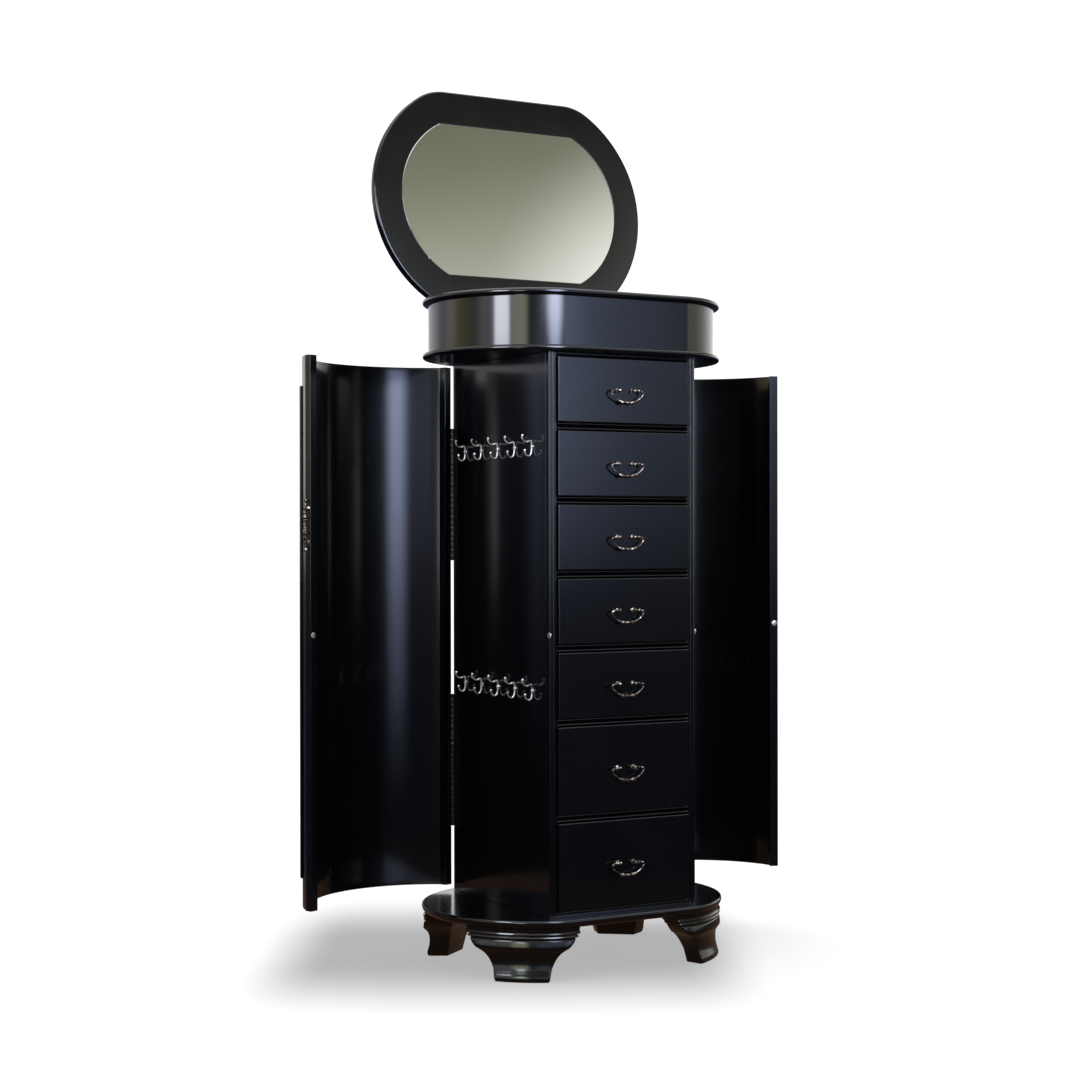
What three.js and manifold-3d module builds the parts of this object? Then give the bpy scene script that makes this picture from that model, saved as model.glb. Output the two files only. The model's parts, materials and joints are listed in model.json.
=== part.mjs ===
// Oval standing jewellery armoire: seven drawers, two curved side doors that hide necklace hooks,
// and a mirrored lid over a lined top box. Millimetres, +Z up, the front looks along -Y.
// Everything is placed from the middle of the oval, and the finished model is then moved so that
// its origin is on the floor under the middle of its overall box. Doors and lid stand open.
import * as THREE from 'three';
import { mergeVertices } from 'three/addons/utils/BufferGeometryUtils.js';
import Module from 'manifold-3d';

const wasm = await Module();
wasm.setup();

// ---- driving dimensions --------------------------------------------------------------------
const GAP = 0.3;

// ovals: straight front and back of half-length `straight`, joined to round ends by a fillet
const BASE_OVAL = { halfWidth: 237, halfDepth: 171, straight: 118, fillet: 80 };
const RIM_OVAL = { halfWidth: 235, halfDepth: 169, straight: 117, fillet: 80 };
const LID_OVAL = { halfWidth: 242, halfDepth: 177, straight: 130, fillet: 80 };
const MIRROR_OVAL = { halfWidth: 194, halfDepth: 123.5, straight: 120, fillet: 10 };

const FOOT_HEIGHT = 78;
const BASE_TOP = 90;
const CABINET_TOP = 911;
const FLANGE_TOP = 920;
const BAND_TOP = 992;
const RIM_TOP = 1001.5;
const LID_THICKNESS = 14.5;

const CABINET_HALF_WIDTH = 126;
const FRONT_Y = -154.5;
const REAR_Y = 155;
const PANEL = 12;
const FRAME_DEPTH = 15;
const DRAWER_PROUD = 5.5;
const STILE_WIDTH = 13;

const TOP_RAIL = 5;
const MID_RAIL = 10;
const SMALL_OPENING = 97.6;
const LARGE_OPENING = 129.65;
const OPENINGS = [...Array(5).fill(SMALL_OPENING), ...Array(2).fill(LARGE_OPENING)];
const FRONT_GAP = 0.8;
const DRAWER_FRONT = 14;
const DRAWER_WALL = 8;
const DRAWER_FLOOR = 4;
const DRAWER_REAR_Y = 122;
const DRAWER_HALF_WIDTH = 108;
const RUNNER_INNER_X = 100;
const RUNNER_THICKNESS = 8;

const PULL_POST_X = 13;
const PULL_STANDOFF = 8;
const PULL_WIRE = 1.8;

const HOOK_PITCH = 53.3;
const HOOK_COUNT = 5;
const HOOK_CENTRE_Y = 5;
const HOOK_ROW_TOPS = { upper: 784, lower: 427 };
const HOOK_WIRE = 1.3;
const HOOK_STRIP = { height: 6, depth: 1.5, drop: 8 };

const DOOR_BOTTOM = 98.3;
const DOOR_TOP = 908;
const DOOR_APEX_X = 224;
const DOOR_THICKNESS = 10.4;
const DOOR_POST = { width: 10.1, depth: 13.5 };
const DOOR_LINE_X = CABINET_HALF_WIDTH + 0.4;
const DOOR_PANEL = { inset: 43, thickness: 3.2, sweep: 50 };
const DOOR_PIVOT = { x: CABINET_HALF_WIDTH + 0.25, y: 157.6 };
const DOOR_OPEN = 68;
const DOOR_PULL = { side: 'left', centreZ: 660, length: 78, standoff: 6.5 };

const LEAF = 1.1;
const LEAF_LENGTH = 207;
const LEAF_WIDTH = 14;
const HINGE_LOW_ENDS = [190, 606];
const KNUCKLE_RADIUS = 2.4;
const PIN_RADIUS = 1.0;

const LID_PIVOT = { y: 171.6, z: 1001.8 };
const LID_UNDERSIDE = RIM_TOP + 0.7;
const LID_OPEN = 97.4;
const LID_CENTRE_Y = 169.5 - LID_OVAL.halfDepth;
const LID_HINGE_LENGTH = 180;

const BAND_INSET = 9;
const BAND_WALL = 10;
const TRAY_INSET = BAND_INSET + BAND_WALL;
const TRAY_DIVIDER = { height: 45, thickness: 6, longY: 25, crossX: 70 };
const RING_CUSHION = { height: 34, rolls: 9 };

// ---- materials -----------------------------------------------------------------------------
const lacquer = new THREE.MeshStandardMaterial({ color: 0x0c0d12, roughness: 0.25, metalness: 0 });
const brass = new THREE.MeshStandardMaterial({ color: 0x7a5a3c, roughness: 0.4, metalness: 1 });
const steel = new THREE.MeshStandardMaterial({ color: 0x2a2a2c, roughness: 0.4, metalness: 1 });
const silvered = new THREE.MeshStandardMaterial({ color: 0xd8ddd8, roughness: 0.02, metalness: 1 });
const felt = new THREE.MeshStandardMaterial({ color: 0x1d1b20, roughness: 0.95, metalness: 0 });

// ---- general helpers -----------------------------------------------------------------------
const model = new THREE.Group();

function addMesh(parent, name, geometry, material) {
  const mesh = new THREE.Mesh(geometry, material);
  mesh.name = name;
  parent.add(mesh);
  return mesh;
}

function solidOf(geometry) {
  const bare = geometry.clone();
  bare.deleteAttribute('normal');
  bare.deleteAttribute('uv');
  const merged = mergeVertices(bare, 1e-4);
  return new wasm.Manifold(new wasm.Mesh({
    numProp: 3,
    vertProperties: Float32Array.from(merged.attributes.position.array),
    triVerts: Uint32Array.from(merged.index.array),
  }));
}

function geometryOf(solid) {
  const mesh = solid.getMesh();
  const geometry = new THREE.BufferGeometry();
  geometry.setAttribute('position', new THREE.BufferAttribute(mesh.vertProperties, 3));
  geometry.setIndex(new THREE.BufferAttribute(mesh.triVerts, 1));
  geometry.computeVertexNormals();
  return geometry;
}

function cut(geometry, ...tools) {
  return geometryOf(tools.reduce((solid, tool) => solid.subtract(solidOf(tool)), solidOf(geometry)));
}

function join(...geometries) {
  const [first, ...rest] = geometries.map(solidOf);
  return geometryOf(rest.reduce((solid, next) => solid.add(next), first));
}

// box from its lowest to its highest corner, the corners taken in any order
function block(x0, x1, y0, y1, z0, z1) {
  const geometry = new THREE.BoxGeometry(Math.abs(x1 - x0), Math.abs(y1 - y0), Math.abs(z1 - z0));
  return geometry.translate((x0 + x1) / 2, (y0 + y1) / 2, (z0 + z1) / 2);
}

// upright cylinder between two heights
function rod(x, y, z0, z1, radius, sides = 6) {
  const geometry = new THREE.CylinderGeometry(radius, radius, z1 - z0, sides);
  return geometry.rotateX(Math.PI / 2).translate(x, y, (z0 + z1) / 2);
}

// plan outline extruded between two heights
function prism(points, z0, z1) {
  const shape = new THREE.Shape(points.map(([x, y]) => new THREE.Vector2(x, y)));
  return new THREE.ExtrudeGeometry(shape, { depth: z1 - z0, bevelEnabled: false }).translate(0, 0, z0);
}

// round wire along a curve through the given points
function wire(points, radius, sides, steps) {
  const section = new THREE.Shape();
  for (let i = 0; i < sides; i++) {
    const angle = (2 * Math.PI * i) / sides;
    const corner = [radius * Math.cos(angle), radius * Math.sin(angle)];
    if (i === 0) section.moveTo(...corner);
    else section.lineTo(...corner);
  }
  section.closePath();
  const path = new THREE.CatmullRomCurve3(points.map((p) => new THREE.Vector3(...p)));
  return new THREE.ExtrudeGeometry(section, { steps, bevelEnabled: false, extrudePath: path });
}

// closed body through level rings that run counter-clockwise and are all convex
function loft(rings) {
  const count = rings[0].length;
  const positions = rings.flat().flatMap((point) => [point.x, point.y, point.z]);
  const faces = [];
  for (let level = 0; level + 1 < rings.length; level++) {
    for (let i = 0; i < count; i++) {
      const a = level * count + i;
      const b = level * count + ((i + 1) % count);
      faces.push(a, b, b + count, a, b + count, a + count);
    }
  }
  const top = (rings.length - 1) * count;
  for (let i = 1; i + 1 < count; i++) {
    faces.push(0, i + 1, i, top, top + i, top + i + 1);
  }
  const geometry = new THREE.BufferGeometry();
  geometry.setAttribute('position', new THREE.Float32BufferAttribute(positions, 3));
  geometry.setIndex(faces);
  geometry.computeVertexNormals();
  return geometry;
}

// ---- ovals ---------------------------------------------------------------------------------
// centres, radii and the angle at which the end arc hands over to the corner fillet
function ovalArcs(oval) {
  const { halfWidth, halfDepth, straight, fillet } = oval;
  const rise = halfWidth - straight;
  const endRadius = (rise ** 2 + halfDepth ** 2) / (2 * rise);
  const endX = halfWidth - endRadius;
  const cornerY = halfDepth - fillet;
  const cornerX = endX + Math.sqrt((endRadius - fillet) ** 2 - cornerY ** 2);
  return { endRadius, endX, cornerX, cornerY, turn: Math.atan2(cornerY, cornerX - endX) };
}

// point of the first quadrant at a distance along the outline from the end of the oval
function ovalPoint(oval, along, inset) {
  const { endRadius, endX, cornerX, cornerY, turn } = ovalArcs(oval);
  const endLength = endRadius * turn;
  const cornerLength = oval.fillet * (Math.PI / 2 - turn);
  if (along <= endLength) {
    const angle = along / endRadius;
    const radius = endRadius - inset;
    return new THREE.Vector2(endX + radius * Math.cos(angle), radius * Math.sin(angle));
  }
  if (along <= endLength + cornerLength) {
    const angle = turn + (along - endLength) / oval.fillet;
    const radius = oval.fillet - inset;
    return new THREE.Vector2(cornerX + radius * Math.cos(angle), cornerY + radius * Math.sin(angle));
  }
  return new THREE.Vector2(cornerX - (along - endLength - cornerLength), oval.halfDepth - inset);
}

function ovalRing(oval, inset, z, endSteps = 9, cornerSteps = 3) {
  const { endRadius, turn } = ovalArcs(oval);
  const endLength = endRadius * turn;
  const cornerLength = oval.fillet * (Math.PI / 2 - turn);
  const quarter = [];
  for (let i = 0; i < endSteps; i++) quarter.push(ovalPoint(oval, (endLength * i) / endSteps, inset));
  for (let i = 0; i <= cornerSteps; i++) {
    quarter.push(ovalPoint(oval, endLength + (cornerLength * i) / cornerSteps, inset));
  }
  const place = (sx, sy) => (p) => new THREE.Vector3(sx * p.x, sy * p.y, z);
  const reversed = [...quarter].reverse();
  return [
    ...quarter.map(place(1, 1)),
    ...reversed.map(place(-1, 1)),
    ...quarter.slice(1).map(place(-1, -1)),
    ...reversed.slice(0, -1).map(place(1, -1)),
  ];
}

// solid oval board whose edge follows [z, inset] levels
function ovalBoard(oval, levels) {
  return loft(levels.map(([z, inset]) => ovalRing(oval, inset, z)));
}

// half-round edge between two heights
function bullnose(z0, z1, steps = 4) {
  const radius = (z1 - z0) / 2;
  return Array.from({ length: steps + 1 }, (_, i) => {
    const angle = Math.PI * (i / steps - 0.5);
    return [(z0 + z1) / 2 + radius * Math.sin(angle), radius * (1 - Math.cos(angle))];
  });
}

// ---- base ----------------------------------------------------------------------------------
function buildBasePlate() {
  const edge = [[78, 4.5], [79.5, 2.4], [82.5, 0.6], [86, 0], [89, 0.4], [90, 1.6]];
  addMesh(model, 'base_plate', ovalBoard(BASE_OVAL, edge), lacquer);
}

// Each level of a foot: height, half of its length along the oval, inset of its outer face,
// and how deep it reaches under the base.
const FOOT_LEVELS = [
  [0, 42, 8, 38],
  [6, 44, 5.2, 39],
  [12, 45, 5.2, 40],
  [20, 47, 7.2, 42],
  [32, 54, 8.2, 46],
  [44, 66, 5.4, 51],
  [54, 80, 3.2, 57],
  [61, 85, 3.8, 60],
  [63, 86, 5.4, 61],
  [68, 88, 5.2, 63],
  [69, 91, 2.8, 65],
  [FOOT_HEIGHT - GAP, 92, 3.2, 68],
];
const FOOT_CENTRE_ALONG = 163;
const FOOT_INNER_WIDTH = 0.7;

function footRing([z, half, inset, depth]) {
  const steps = 8;
  const outer = [];
  for (let i = 0; i <= steps; i++) {
    outer.push(ovalPoint(BASE_OVAL, FOOT_CENTRE_ALONG - half + (2 * half * i) / steps, inset));
  }
  const { endRadius, endX } = ovalArcs(BASE_OVAL);
  const facing = FOOT_CENTRE_ALONG / endRadius;
  const normal = new THREE.Vector2(Math.cos(facing), Math.sin(facing));
  const tangent = new THREE.Vector2(-normal.y, normal.x);
  const back = normal.clone().multiplyScalar(endRadius - depth).add(new THREE.Vector2(endX, 0));
  const reach = half * FOOT_INNER_WIDTH;
  outer.push(back.clone().addScaledVector(tangent, reach));
  outer.push(back.clone().addScaledVector(tangent, -reach));
  return outer.map((point) => new THREE.Vector3(point.x, point.y, z));
}

function buildFeet() {
  const corners = { front_left: [-1, -1], front_right: [1, -1], rear_left: [-1, 1], rear_right: [1, 1] };
  for (const [corner, [sx, sy]] of Object.entries(corners)) {
    const rings = FOOT_LEVELS.map((level) => {
      const ring = footRing(level).map((p) => new THREE.Vector3(sx * p.x, sy * p.y, p.z));
      return sx * sy < 0 ? ring.reverse() : ring;
    });
    addMesh(model, `foot_${corner}`, loft(rings), lacquer);
  }
}

// ---- cabinet -------------------------------------------------------------------------------
// z range of every drawer opening, from the top one down
function openingHeights() {
  const heights = [];
  let top = CABINET_TOP - TOP_RAIL;
  for (const height of OPENINGS) {
    heights.push([top - height, top]);
    top -= height + MID_RAIL;
  }
  return heights;
}

function buildFaceFrame() {
  const inner = CABINET_HALF_WIDTH - STILE_WIDTH;
  const board = block(
    -CABINET_HALF_WIDTH, CABINET_HALF_WIDTH,
    FRONT_Y + DRAWER_PROUD, FRONT_Y + FRAME_DEPTH,
    BASE_TOP + GAP, CABINET_TOP - GAP,
  );
  const holes = openingHeights().map(([low, high]) => block(
    -inner, inner, FRONT_Y - 1, FRONT_Y + FRAME_DEPTH + 1, low, high,
  ));
  addMesh(model, 'face_frame', cut(board, ...holes), lacquer);
}

function hookStripHeights(rowTop, slack) {
  const middle = rowTop - HOOK_STRIP.drop;
  return [middle - HOOK_STRIP.height / 2 - slack, middle + HOOK_STRIP.height / 2 + slack];
}

function hookStripReach(slack) {
  const half = (HOOK_PITCH * (HOOK_COUNT - 1)) / 2 + 4 + slack;
  return [HOOK_CENTRE_Y - half, HOOK_CENTRE_Y + half];
}

function buildSidePanel(side, sideName) {
  const outer = side * CABINET_HALF_WIDTH;
  const panel = block(
    outer, outer - side * PANEL,
    FRONT_Y + FRAME_DEPTH + GAP, REAR_Y,
    BASE_TOP + GAP, CABINET_TOP - GAP,
  );
  const [y0, y1] = hookStripReach(GAP);
  const grooves = Object.values(HOOK_ROW_TOPS).map((rowTop) => {
    const [z0, z1] = hookStripHeights(rowTop, GAP);
    return block(outer + side, outer - side * (HOOK_STRIP.depth + GAP), y0, y1, z0, z1);
  });
  const mortises = HINGE_LOW_ENDS.map((z) => block(
    outer + side, outer - side * (LEAF + 0.4),
    REAR_Y - LEAF_WIDTH - GAP, REAR_Y + 1,
    z - GAP, z + LEAF_LENGTH + GAP,
  ));
  addMesh(model, `side_panel_${sideName}`, cut(panel, ...grooves, ...mortises), lacquer);
}

function buildBackPanel() {
  const reach = CABINET_HALF_WIDTH - PANEL - GAP;
  const board = block(-reach, reach, REAR_Y - PANEL, REAR_Y, BASE_TOP + GAP, CABINET_TOP - GAP);
  addMesh(model, 'back_panel', board, lacquer);
}

// ladder of ledges that the drawers of one side run on
function buildRunners(side, sideName) {
  const outer = side * (CABINET_HALF_WIDTH - PANEL - GAP);
  const inner = side * RUNNER_INNER_X;
  const front = FRONT_Y + FRAME_DEPTH + GAP;
  const rear = REAR_Y - PANEL - GAP;
  const upright = block(inner, outer, rear - 12, rear, BASE_TOP + GAP, CABINET_TOP - GAP);
  const ledges = openingHeights().map(([low]) => block(
    inner, outer, front, rear - 11, low - RUNNER_THICKNESS, low,
  ));
  addMesh(model, `drawer_runners_${sideName}`, join(upright, ...ledges), lacquer);
}

// ---- necklace hooks ------------------------------------------------------------------------
// outline of one hook in its own plane: distance out from the panel, height below its top corner
const HOOK_OUTLINE = [
  [16.3, 8.4], [18, 4.7], [15.6, 0.8], [10.7, -1.7], [6, -0.6], [2.4, -0.4],
  [1.8, -4], [1.8, -14], [3, -19.6], [6.8, -22.4], [11.3, -20.4], [13.2, -16.4], [12.8, -13.2],
];

function buildHookRow(side, sideName, rowName, rowTop) {
  const panelX = side * CABINET_HALF_WIDTH;
  const [z0, z1] = hookStripHeights(rowTop, 0);
  const [y0, y1] = hookStripReach(0);
  const pieces = [block(panelX - side * HOOK_STRIP.depth, panelX, y0, y1, z0, z1)];
  for (let i = 0; i < HOOK_COUNT; i++) {
    const y = HOOK_CENTRE_Y + (i - (HOOK_COUNT - 1) / 2) * HOOK_PITCH;
    const points = HOOK_OUTLINE.map(([out, up]) => [panelX + side * out, y, rowTop + up]);
    pieces.push(wire(points, HOOK_WIRE, 4, 14));
    const screw = new THREE.CylinderGeometry(2, 2, 3, 6).rotateZ(Math.PI / 2);
    pieces.push(screw.translate(panelX + side * 0.7, y, rowTop - HOOK_STRIP.drop));
  }
  addMesh(model, `hook_row_${sideName}_${rowName}`, join(...pieces), brass);
}

// ---- top box -------------------------------------------------------------------------------
function ovalBore(oval, inset, z0, z1) {
  return ovalBoard(oval, [[z0, inset], [z1, inset]]);
}

function buildTopBox() {
  addMesh(model, 'top_box_floor', ovalBoard(RIM_OVAL, bullnose(CABINET_TOP, FLANGE_TOP)), lacquer);

  const bandLow = FLANGE_TOP + GAP;
  const bandHigh = BAND_TOP - GAP;
  const band = ovalBoard(RIM_OVAL, [[bandLow, BAND_INSET], [bandHigh, BAND_INSET]]);
  const bandBore = ovalBore(RIM_OVAL, TRAY_INSET, bandLow - 1, bandHigh + 1);
  addMesh(model, 'top_box_wall', cut(band, bandBore), lacquer);

  const rim = ovalBoard(RIM_OVAL, bullnose(BAND_TOP, RIM_TOP));
  const rimBore = ovalBore(RIM_OVAL, TRAY_INSET + 2, BAND_TOP - 1, RIM_TOP + 1);
  const half = LID_HINGE_LENGTH / 2 + GAP;
  const mortise = block(-half, half, 149.7, RIM_OVAL.halfDepth + 1, RIM_TOP - LEAF - 0.4, RIM_TOP + 1);
  addMesh(model, 'top_box_rim', cut(rim, rimBore, mortise), lacquer);
}

function buildTray() {
  const { height, thickness, longY, crossX } = TRAY_DIVIDER;
  const low = FLANGE_TOP + GAP;
  const reach = RIM_OVAL.halfWidth;
  const half = thickness / 2;
  const lattice = join(
    block(-reach, reach, longY - half, longY + half, low, low + height),
    block(-crossX - half, -crossX + half, -reach, reach, low, low + height),
    block(crossX - half, crossX + half, -reach, reach, low, low + height),
  );
  const room = ovalBore(RIM_OVAL, TRAY_INSET + GAP, low - 1, low + height + 1);
  const divider = geometryOf(solidOf(lattice).intersect(solidOf(room)));
  addMesh(model, 'tray_divider', divider, felt);

  const left = crossX - half - 1;
  const front = -(RIM_OVAL.halfDepth - TRAY_INSET - 1.5);
  const back = longY - half - 1;
  const pitch = (back - front) / RING_CUSHION.rolls;
  const top = low + RING_CUSHION.height;
  const cushion = block(-left, left, front, back, low, top);
  const slots = Array.from({ length: RING_CUSHION.rolls - 1 }, (_, i) => {
    const y = front + (i + 1) * pitch;
    return block(-left - 1, left + 1, y - 1.2, y + 1.2, top - 16, top + 1);
  });
  addMesh(model, 'ring_cushion', cut(cushion, ...slots), felt);
}

// ---- hinges --------------------------------------------------------------------------------
// Knuckles alternate along a barrel of the given length: the fixed leaf has the outer ones and
// the middle one and carries the pin, the moving leaf has the two between and turns on the pin.
function barrel(length, fixed) {
  const spans = fixed ? [[0, 0.2], [0.4, 0.6], [0.8, 1]] : [[0.2, 0.4], [0.6, 0.8]];
  return spans.map(([from, to]) => [from * length + GAP / 2, to * length - GAP / 2]);
}

// upright hinge leaf around a barrel at the origin: the plate lies between x0 and x1 and
// runs from the barrel towards -Y
function uprightLeaf(x0, x1, length, width, fixed) {
  const plate = block(x0, x1, -width - 2.6, -2.7, 0, length);
  const pieces = [plate];
  for (const [low, high] of barrel(length, fixed)) {
    pieces.push(rod(0, 0, low, high, KNUCKLE_RADIUS));
    pieces.push(block(x0, x1, -3, -1, low, high));
  }
  if (fixed) return join(...pieces, rod(0, 0, 0.5, length - 0.5, PIN_RADIUS));
  return cut(join(...pieces), rod(0, 0, -1, length + 1, PIN_RADIUS + 0.4));
}

function buildDoorHinges(doorGroup, side, sideName) {
  const low = side * (DOOR_PIVOT.x - CABINET_HALF_WIDTH);
  const leaves = { lower: HINGE_LOW_ENDS[0], upper: HINGE_LOW_ENDS[1] };
  for (const [level, z] of Object.entries(leaves)) {
    const fixed = uprightLeaf(-low + side * 0.1, -low - side * (LEAF - 0.1), LEAF_LENGTH, LEAF_WIDTH, true);
    addMesh(model, `door_hinge_${sideName}_${level}_fixed`, fixed, steel)
      .position.set(side * DOOR_PIVOT.x, DOOR_PIVOT.y, z);
    const moving = uprightLeaf(side * 0.25, side * (LEAF + 0.25), LEAF_LENGTH, LEAF_WIDTH - 1, false);
    addMesh(doorGroup, `door_hinge_${sideName}_${level}_moving`, moving, steel).position.z = z;
  }
}

// ---- doors ---------------------------------------------------------------------------------
// centre and radius of the outer face of a door, in plan, for the right-hand side
function doorArc() {
  const edgeX = DOOR_LINE_X + DOOR_POST.width;
  const halfChord = -FRONT_Y;
  const centreX = (DOOR_APEX_X ** 2 - edgeX ** 2 - halfChord ** 2) / (2 * (DOOR_APEX_X - edgeX));
  return { centreX, radius: DOOR_APEX_X - centreX, edgeX, halfChord };
}

function arcPoints(centreX, radius, from, to, steps) {
  return Array.from({ length: steps + 1 }, (_, i) => {
    const angle = from + ((to - from) * i) / steps;
    return [centreX + radius * Math.cos(angle), radius * Math.sin(angle)];
  });
}

// plan outline of a shut door: front post, curved shell and rear post
function doorOutline() {
  const { centreX, radius, edgeX, halfChord } = doorArc();
  const steps = 18;
  const outerEnd = Math.atan2(halfChord, edgeX - centreX);
  const innerRadius = radius - DOOR_THICKNESS;
  const postInner = halfChord - DOOR_POST.depth;
  const innerEnd = Math.asin(postInner / innerRadius);
  return [
    [DOOR_LINE_X, -halfChord],
    ...arcPoints(centreX, radius, -outerEnd, outerEnd, steps),
    [DOOR_LINE_X, halfChord],
    [DOOR_LINE_X, postInner],
    ...arcPoints(centreX, innerRadius, innerEnd, -innerEnd, steps),
    [DOOR_LINE_X, -postInner],
  ];
}

// Upright grip on the front post of a door, with two posts that hold it off the face.
function doorPull(side) {
  const x = side * (DOOR_LINE_X + DOOR_POST.width / 2);
  const { centreZ, length, standoff } = DOOR_PULL;
  const grip = FRONT_Y - standoff;
  return join(
    wire([
      [x, grip + 2.5, centreZ + length / 2], [x, grip, centreZ + length / 3],
      [x, grip - 1, centreZ], [x, grip, centreZ - length / 3],
      [x, grip + 2.5, centreZ - length / 2],
    ], 2.2, 6, 12),
    block(x - 2, x + 2, grip, FRONT_Y - GAP, centreZ + length / 3 - 2, centreZ + length / 3 + 2),
    block(x - 2, x + 2, grip, FRONT_Y - GAP, centreZ - length / 3 - 2, centreZ - length / 3 + 2),
  );
}

function buildDoor(side, sideName) {
  const door = new THREE.Group();
  door.position.set(side * DOOR_PIVOT.x, DOOR_PIVOT.y, 0);
  door.rotation.z = side * THREE.MathUtils.degToRad(DOOR_OPEN);
  model.add(door);
  const toPivot = (geometry) => geometry.translate(-side * DOOR_PIVOT.x, -DOOR_PIVOT.y, 0);
  const onSide = (points) => points.map(([x, y]) => [side * x, y]);

  const shell = prism(onSide(doorOutline()), DOOR_BOTTOM, DOOR_TOP);
  const mortises = HINGE_LOW_ENDS.map((z) => block(
    side * (DOOR_LINE_X - 1), side * (DOOR_LINE_X + LEAF + 0.4),
    DOOR_PIVOT.y - LEAF_WIDTH - 2.2, DOOR_PIVOT.y,
    z - GAP, z + LEAF_LENGTH + GAP,
  ));
  addMesh(door, `door_${sideName}_shell`, toPivot(cut(shell, ...mortises)), lacquer);

  const { centreX, radius } = doorArc();
  const sweep = THREE.MathUtils.degToRad(DOOR_PANEL.sweep);
  const back = radius + 1.2 * GAP;
  const panelOutline = [
    ...arcPoints(centreX, back + DOOR_PANEL.thickness, -sweep, sweep, 14),
    ...arcPoints(centreX, back, sweep, -sweep, 14),
  ];
  const { inset } = DOOR_PANEL;
  const panel = prism(onSide(panelOutline), DOOR_BOTTOM + inset, DOOR_TOP - inset);
  addMesh(door, `door_${sideName}_raised_panel`, toPivot(panel), lacquer);

  if (sideName === DOOR_PULL.side) {
    addMesh(door, `door_${sideName}_pull`, toPivot(doorPull(side)), brass);
  }
  buildDoorHinges(door, side, sideName);
}

// ---- drawers -------------------------------------------------------------------------------
// half of a bail from its pivot to the middle of its grip: across, and below the pivot
const BAIL_OUTLINE = [
  [16.3, 0], [20.5, 0.2], [25, -0.8], [27, -3.8], [24.6, -7.6], [17.6, -12.8], [10, -17], [0, -18.2],
];

function buildDrawer(number, low, high) {
  const half = CABINET_HALF_WIDTH - STILE_WIDTH - FRONT_GAP;
  const middle = (low + high) / 2;
  const panel = block(-half, half, FRONT_Y, FRONT_Y + DRAWER_FRONT, low + FRONT_GAP, high - FRONT_GAP);
  const posts = [-PULL_POST_X, PULL_POST_X].map((x) => (
    block(x - 2, x + 2, FRONT_Y + 2, FRONT_Y - PULL_STANDOFF - 2, middle - 2, middle + 2)
  ));
  addMesh(model, `drawer_${number}_front`, join(panel, ...posts), lacquer);

  const boxFront = FRONT_Y + DRAWER_FRONT + GAP;
  const boxLow = low + 0.5;
  const boxHigh = high - 12;
  const box = cut(
    block(-DRAWER_HALF_WIDTH, DRAWER_HALF_WIDTH, boxFront, DRAWER_REAR_Y, boxLow, boxHigh),
    block(
      -DRAWER_HALF_WIDTH + DRAWER_WALL, DRAWER_HALF_WIDTH - DRAWER_WALL,
      boxFront + DRAWER_WALL, DRAWER_REAR_Y - DRAWER_WALL,
      boxLow + DRAWER_FLOOR, boxHigh + 1,
    ),
  );
  addMesh(model, `drawer_${number}_box`, box, felt);

  const left = BAIL_OUTLINE.map(([across, down]) => [-across, 0, down]);
  const right = [...BAIL_OUTLINE].reverse().slice(1).map(([across, down]) => [across, 0, down]);
  addMesh(model, `drawer_${number}_bail`, wire([...left, ...right], PULL_WIRE, 5, 18), brass)
    .position.set(0, FRONT_Y - PULL_STANDOFF, middle);
}

// ---- lid -----------------------------------------------------------------------------------
function buildLid() {
  const lid = new THREE.Group();
  lid.position.set(0, LID_PIVOT.y, LID_PIVOT.z);
  lid.rotation.x = -THREE.MathUtils.degToRad(LID_OPEN);
  model.add(lid);
  const toPivot = (geometry) => geometry.translate(0, -LID_PIVOT.y, -LID_PIVOT.z);
  const low = LID_UNDERSIDE;
  const high = low + LID_THICKNESS;
  const glassDepth = 3;

  const edge = [[low, 2.5], [low + 1, 0.8], [low + 3, 0], [high - 3, 0], [high - 1, 0.8], [high, 2.5]];
  const board = ovalBoard(LID_OVAL, edge).translate(0, LID_CENTRE_Y, 0);
  const recess = ovalBore(MIRROR_OVAL, -GAP, low - 1, low + glassDepth + 0.5).translate(0, LID_CENTRE_Y, 0);
  const half = LID_HINGE_LENGTH / 2 + GAP;
  const mortise = block(-half, half, 149.7, LID_PIVOT.y, low - 1, low + LEAF + 0.2);
  addMesh(lid, 'lid_board', toPivot(cut(board, recess, mortise)), lacquer);

  const glass = ovalBore(MIRROR_OVAL, 0, low + 0.2, low + 0.2 + glassDepth).translate(0, LID_CENTRE_Y, 0);
  addMesh(lid, 'mirror_glass', toPivot(glass), silvered);

  // the lid hinge is an upright leaf laid on its side along X
  const lay = (geometry) => geometry.rotateY(Math.PI / 2).translate(-LID_HINGE_LENGTH / 2, 0, 0);
  const fixed = lay(uprightLeaf(0.1, 0.1 + LEAF, LID_HINGE_LENGTH, 18, true));
  addMesh(model, 'lid_hinge_fixed', fixed, steel).position.set(0, LID_PIVOT.y, LID_PIVOT.z);
  const moving = lay(uprightLeaf(-0.3, -0.3 - LEAF, LID_HINGE_LENGTH, 18, false));
  addMesh(lid, 'lid_hinge_moving', moving, steel);
}

// ---- assembly ------------------------------------------------------------------------------
const SIDES = { left: -1, right: 1 };

buildBasePlate();
buildFeet();
buildFaceFrame();
buildBackPanel();
for (const [sideName, side] of Object.entries(SIDES)) {
  buildSidePanel(side, sideName);
  buildRunners(side, sideName);
  for (const [rowName, rowTop] of Object.entries(HOOK_ROW_TOPS)) {
    buildHookRow(side, sideName, rowName, rowTop);
  }
}
buildTopBox();
buildTray();
for (const [sideName, side] of Object.entries(SIDES)) buildDoor(side, sideName);
openingHeights().forEach(([low, high], index) => buildDrawer(index + 1, low, high));
buildLid();

// the origin is on the floor under the middle of the whole open piece
const middle = new THREE.Box3().setFromObject(model, true).getCenter(new THREE.Vector3());
model.position.set(-middle.x, -middle.y, 0);

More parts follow.
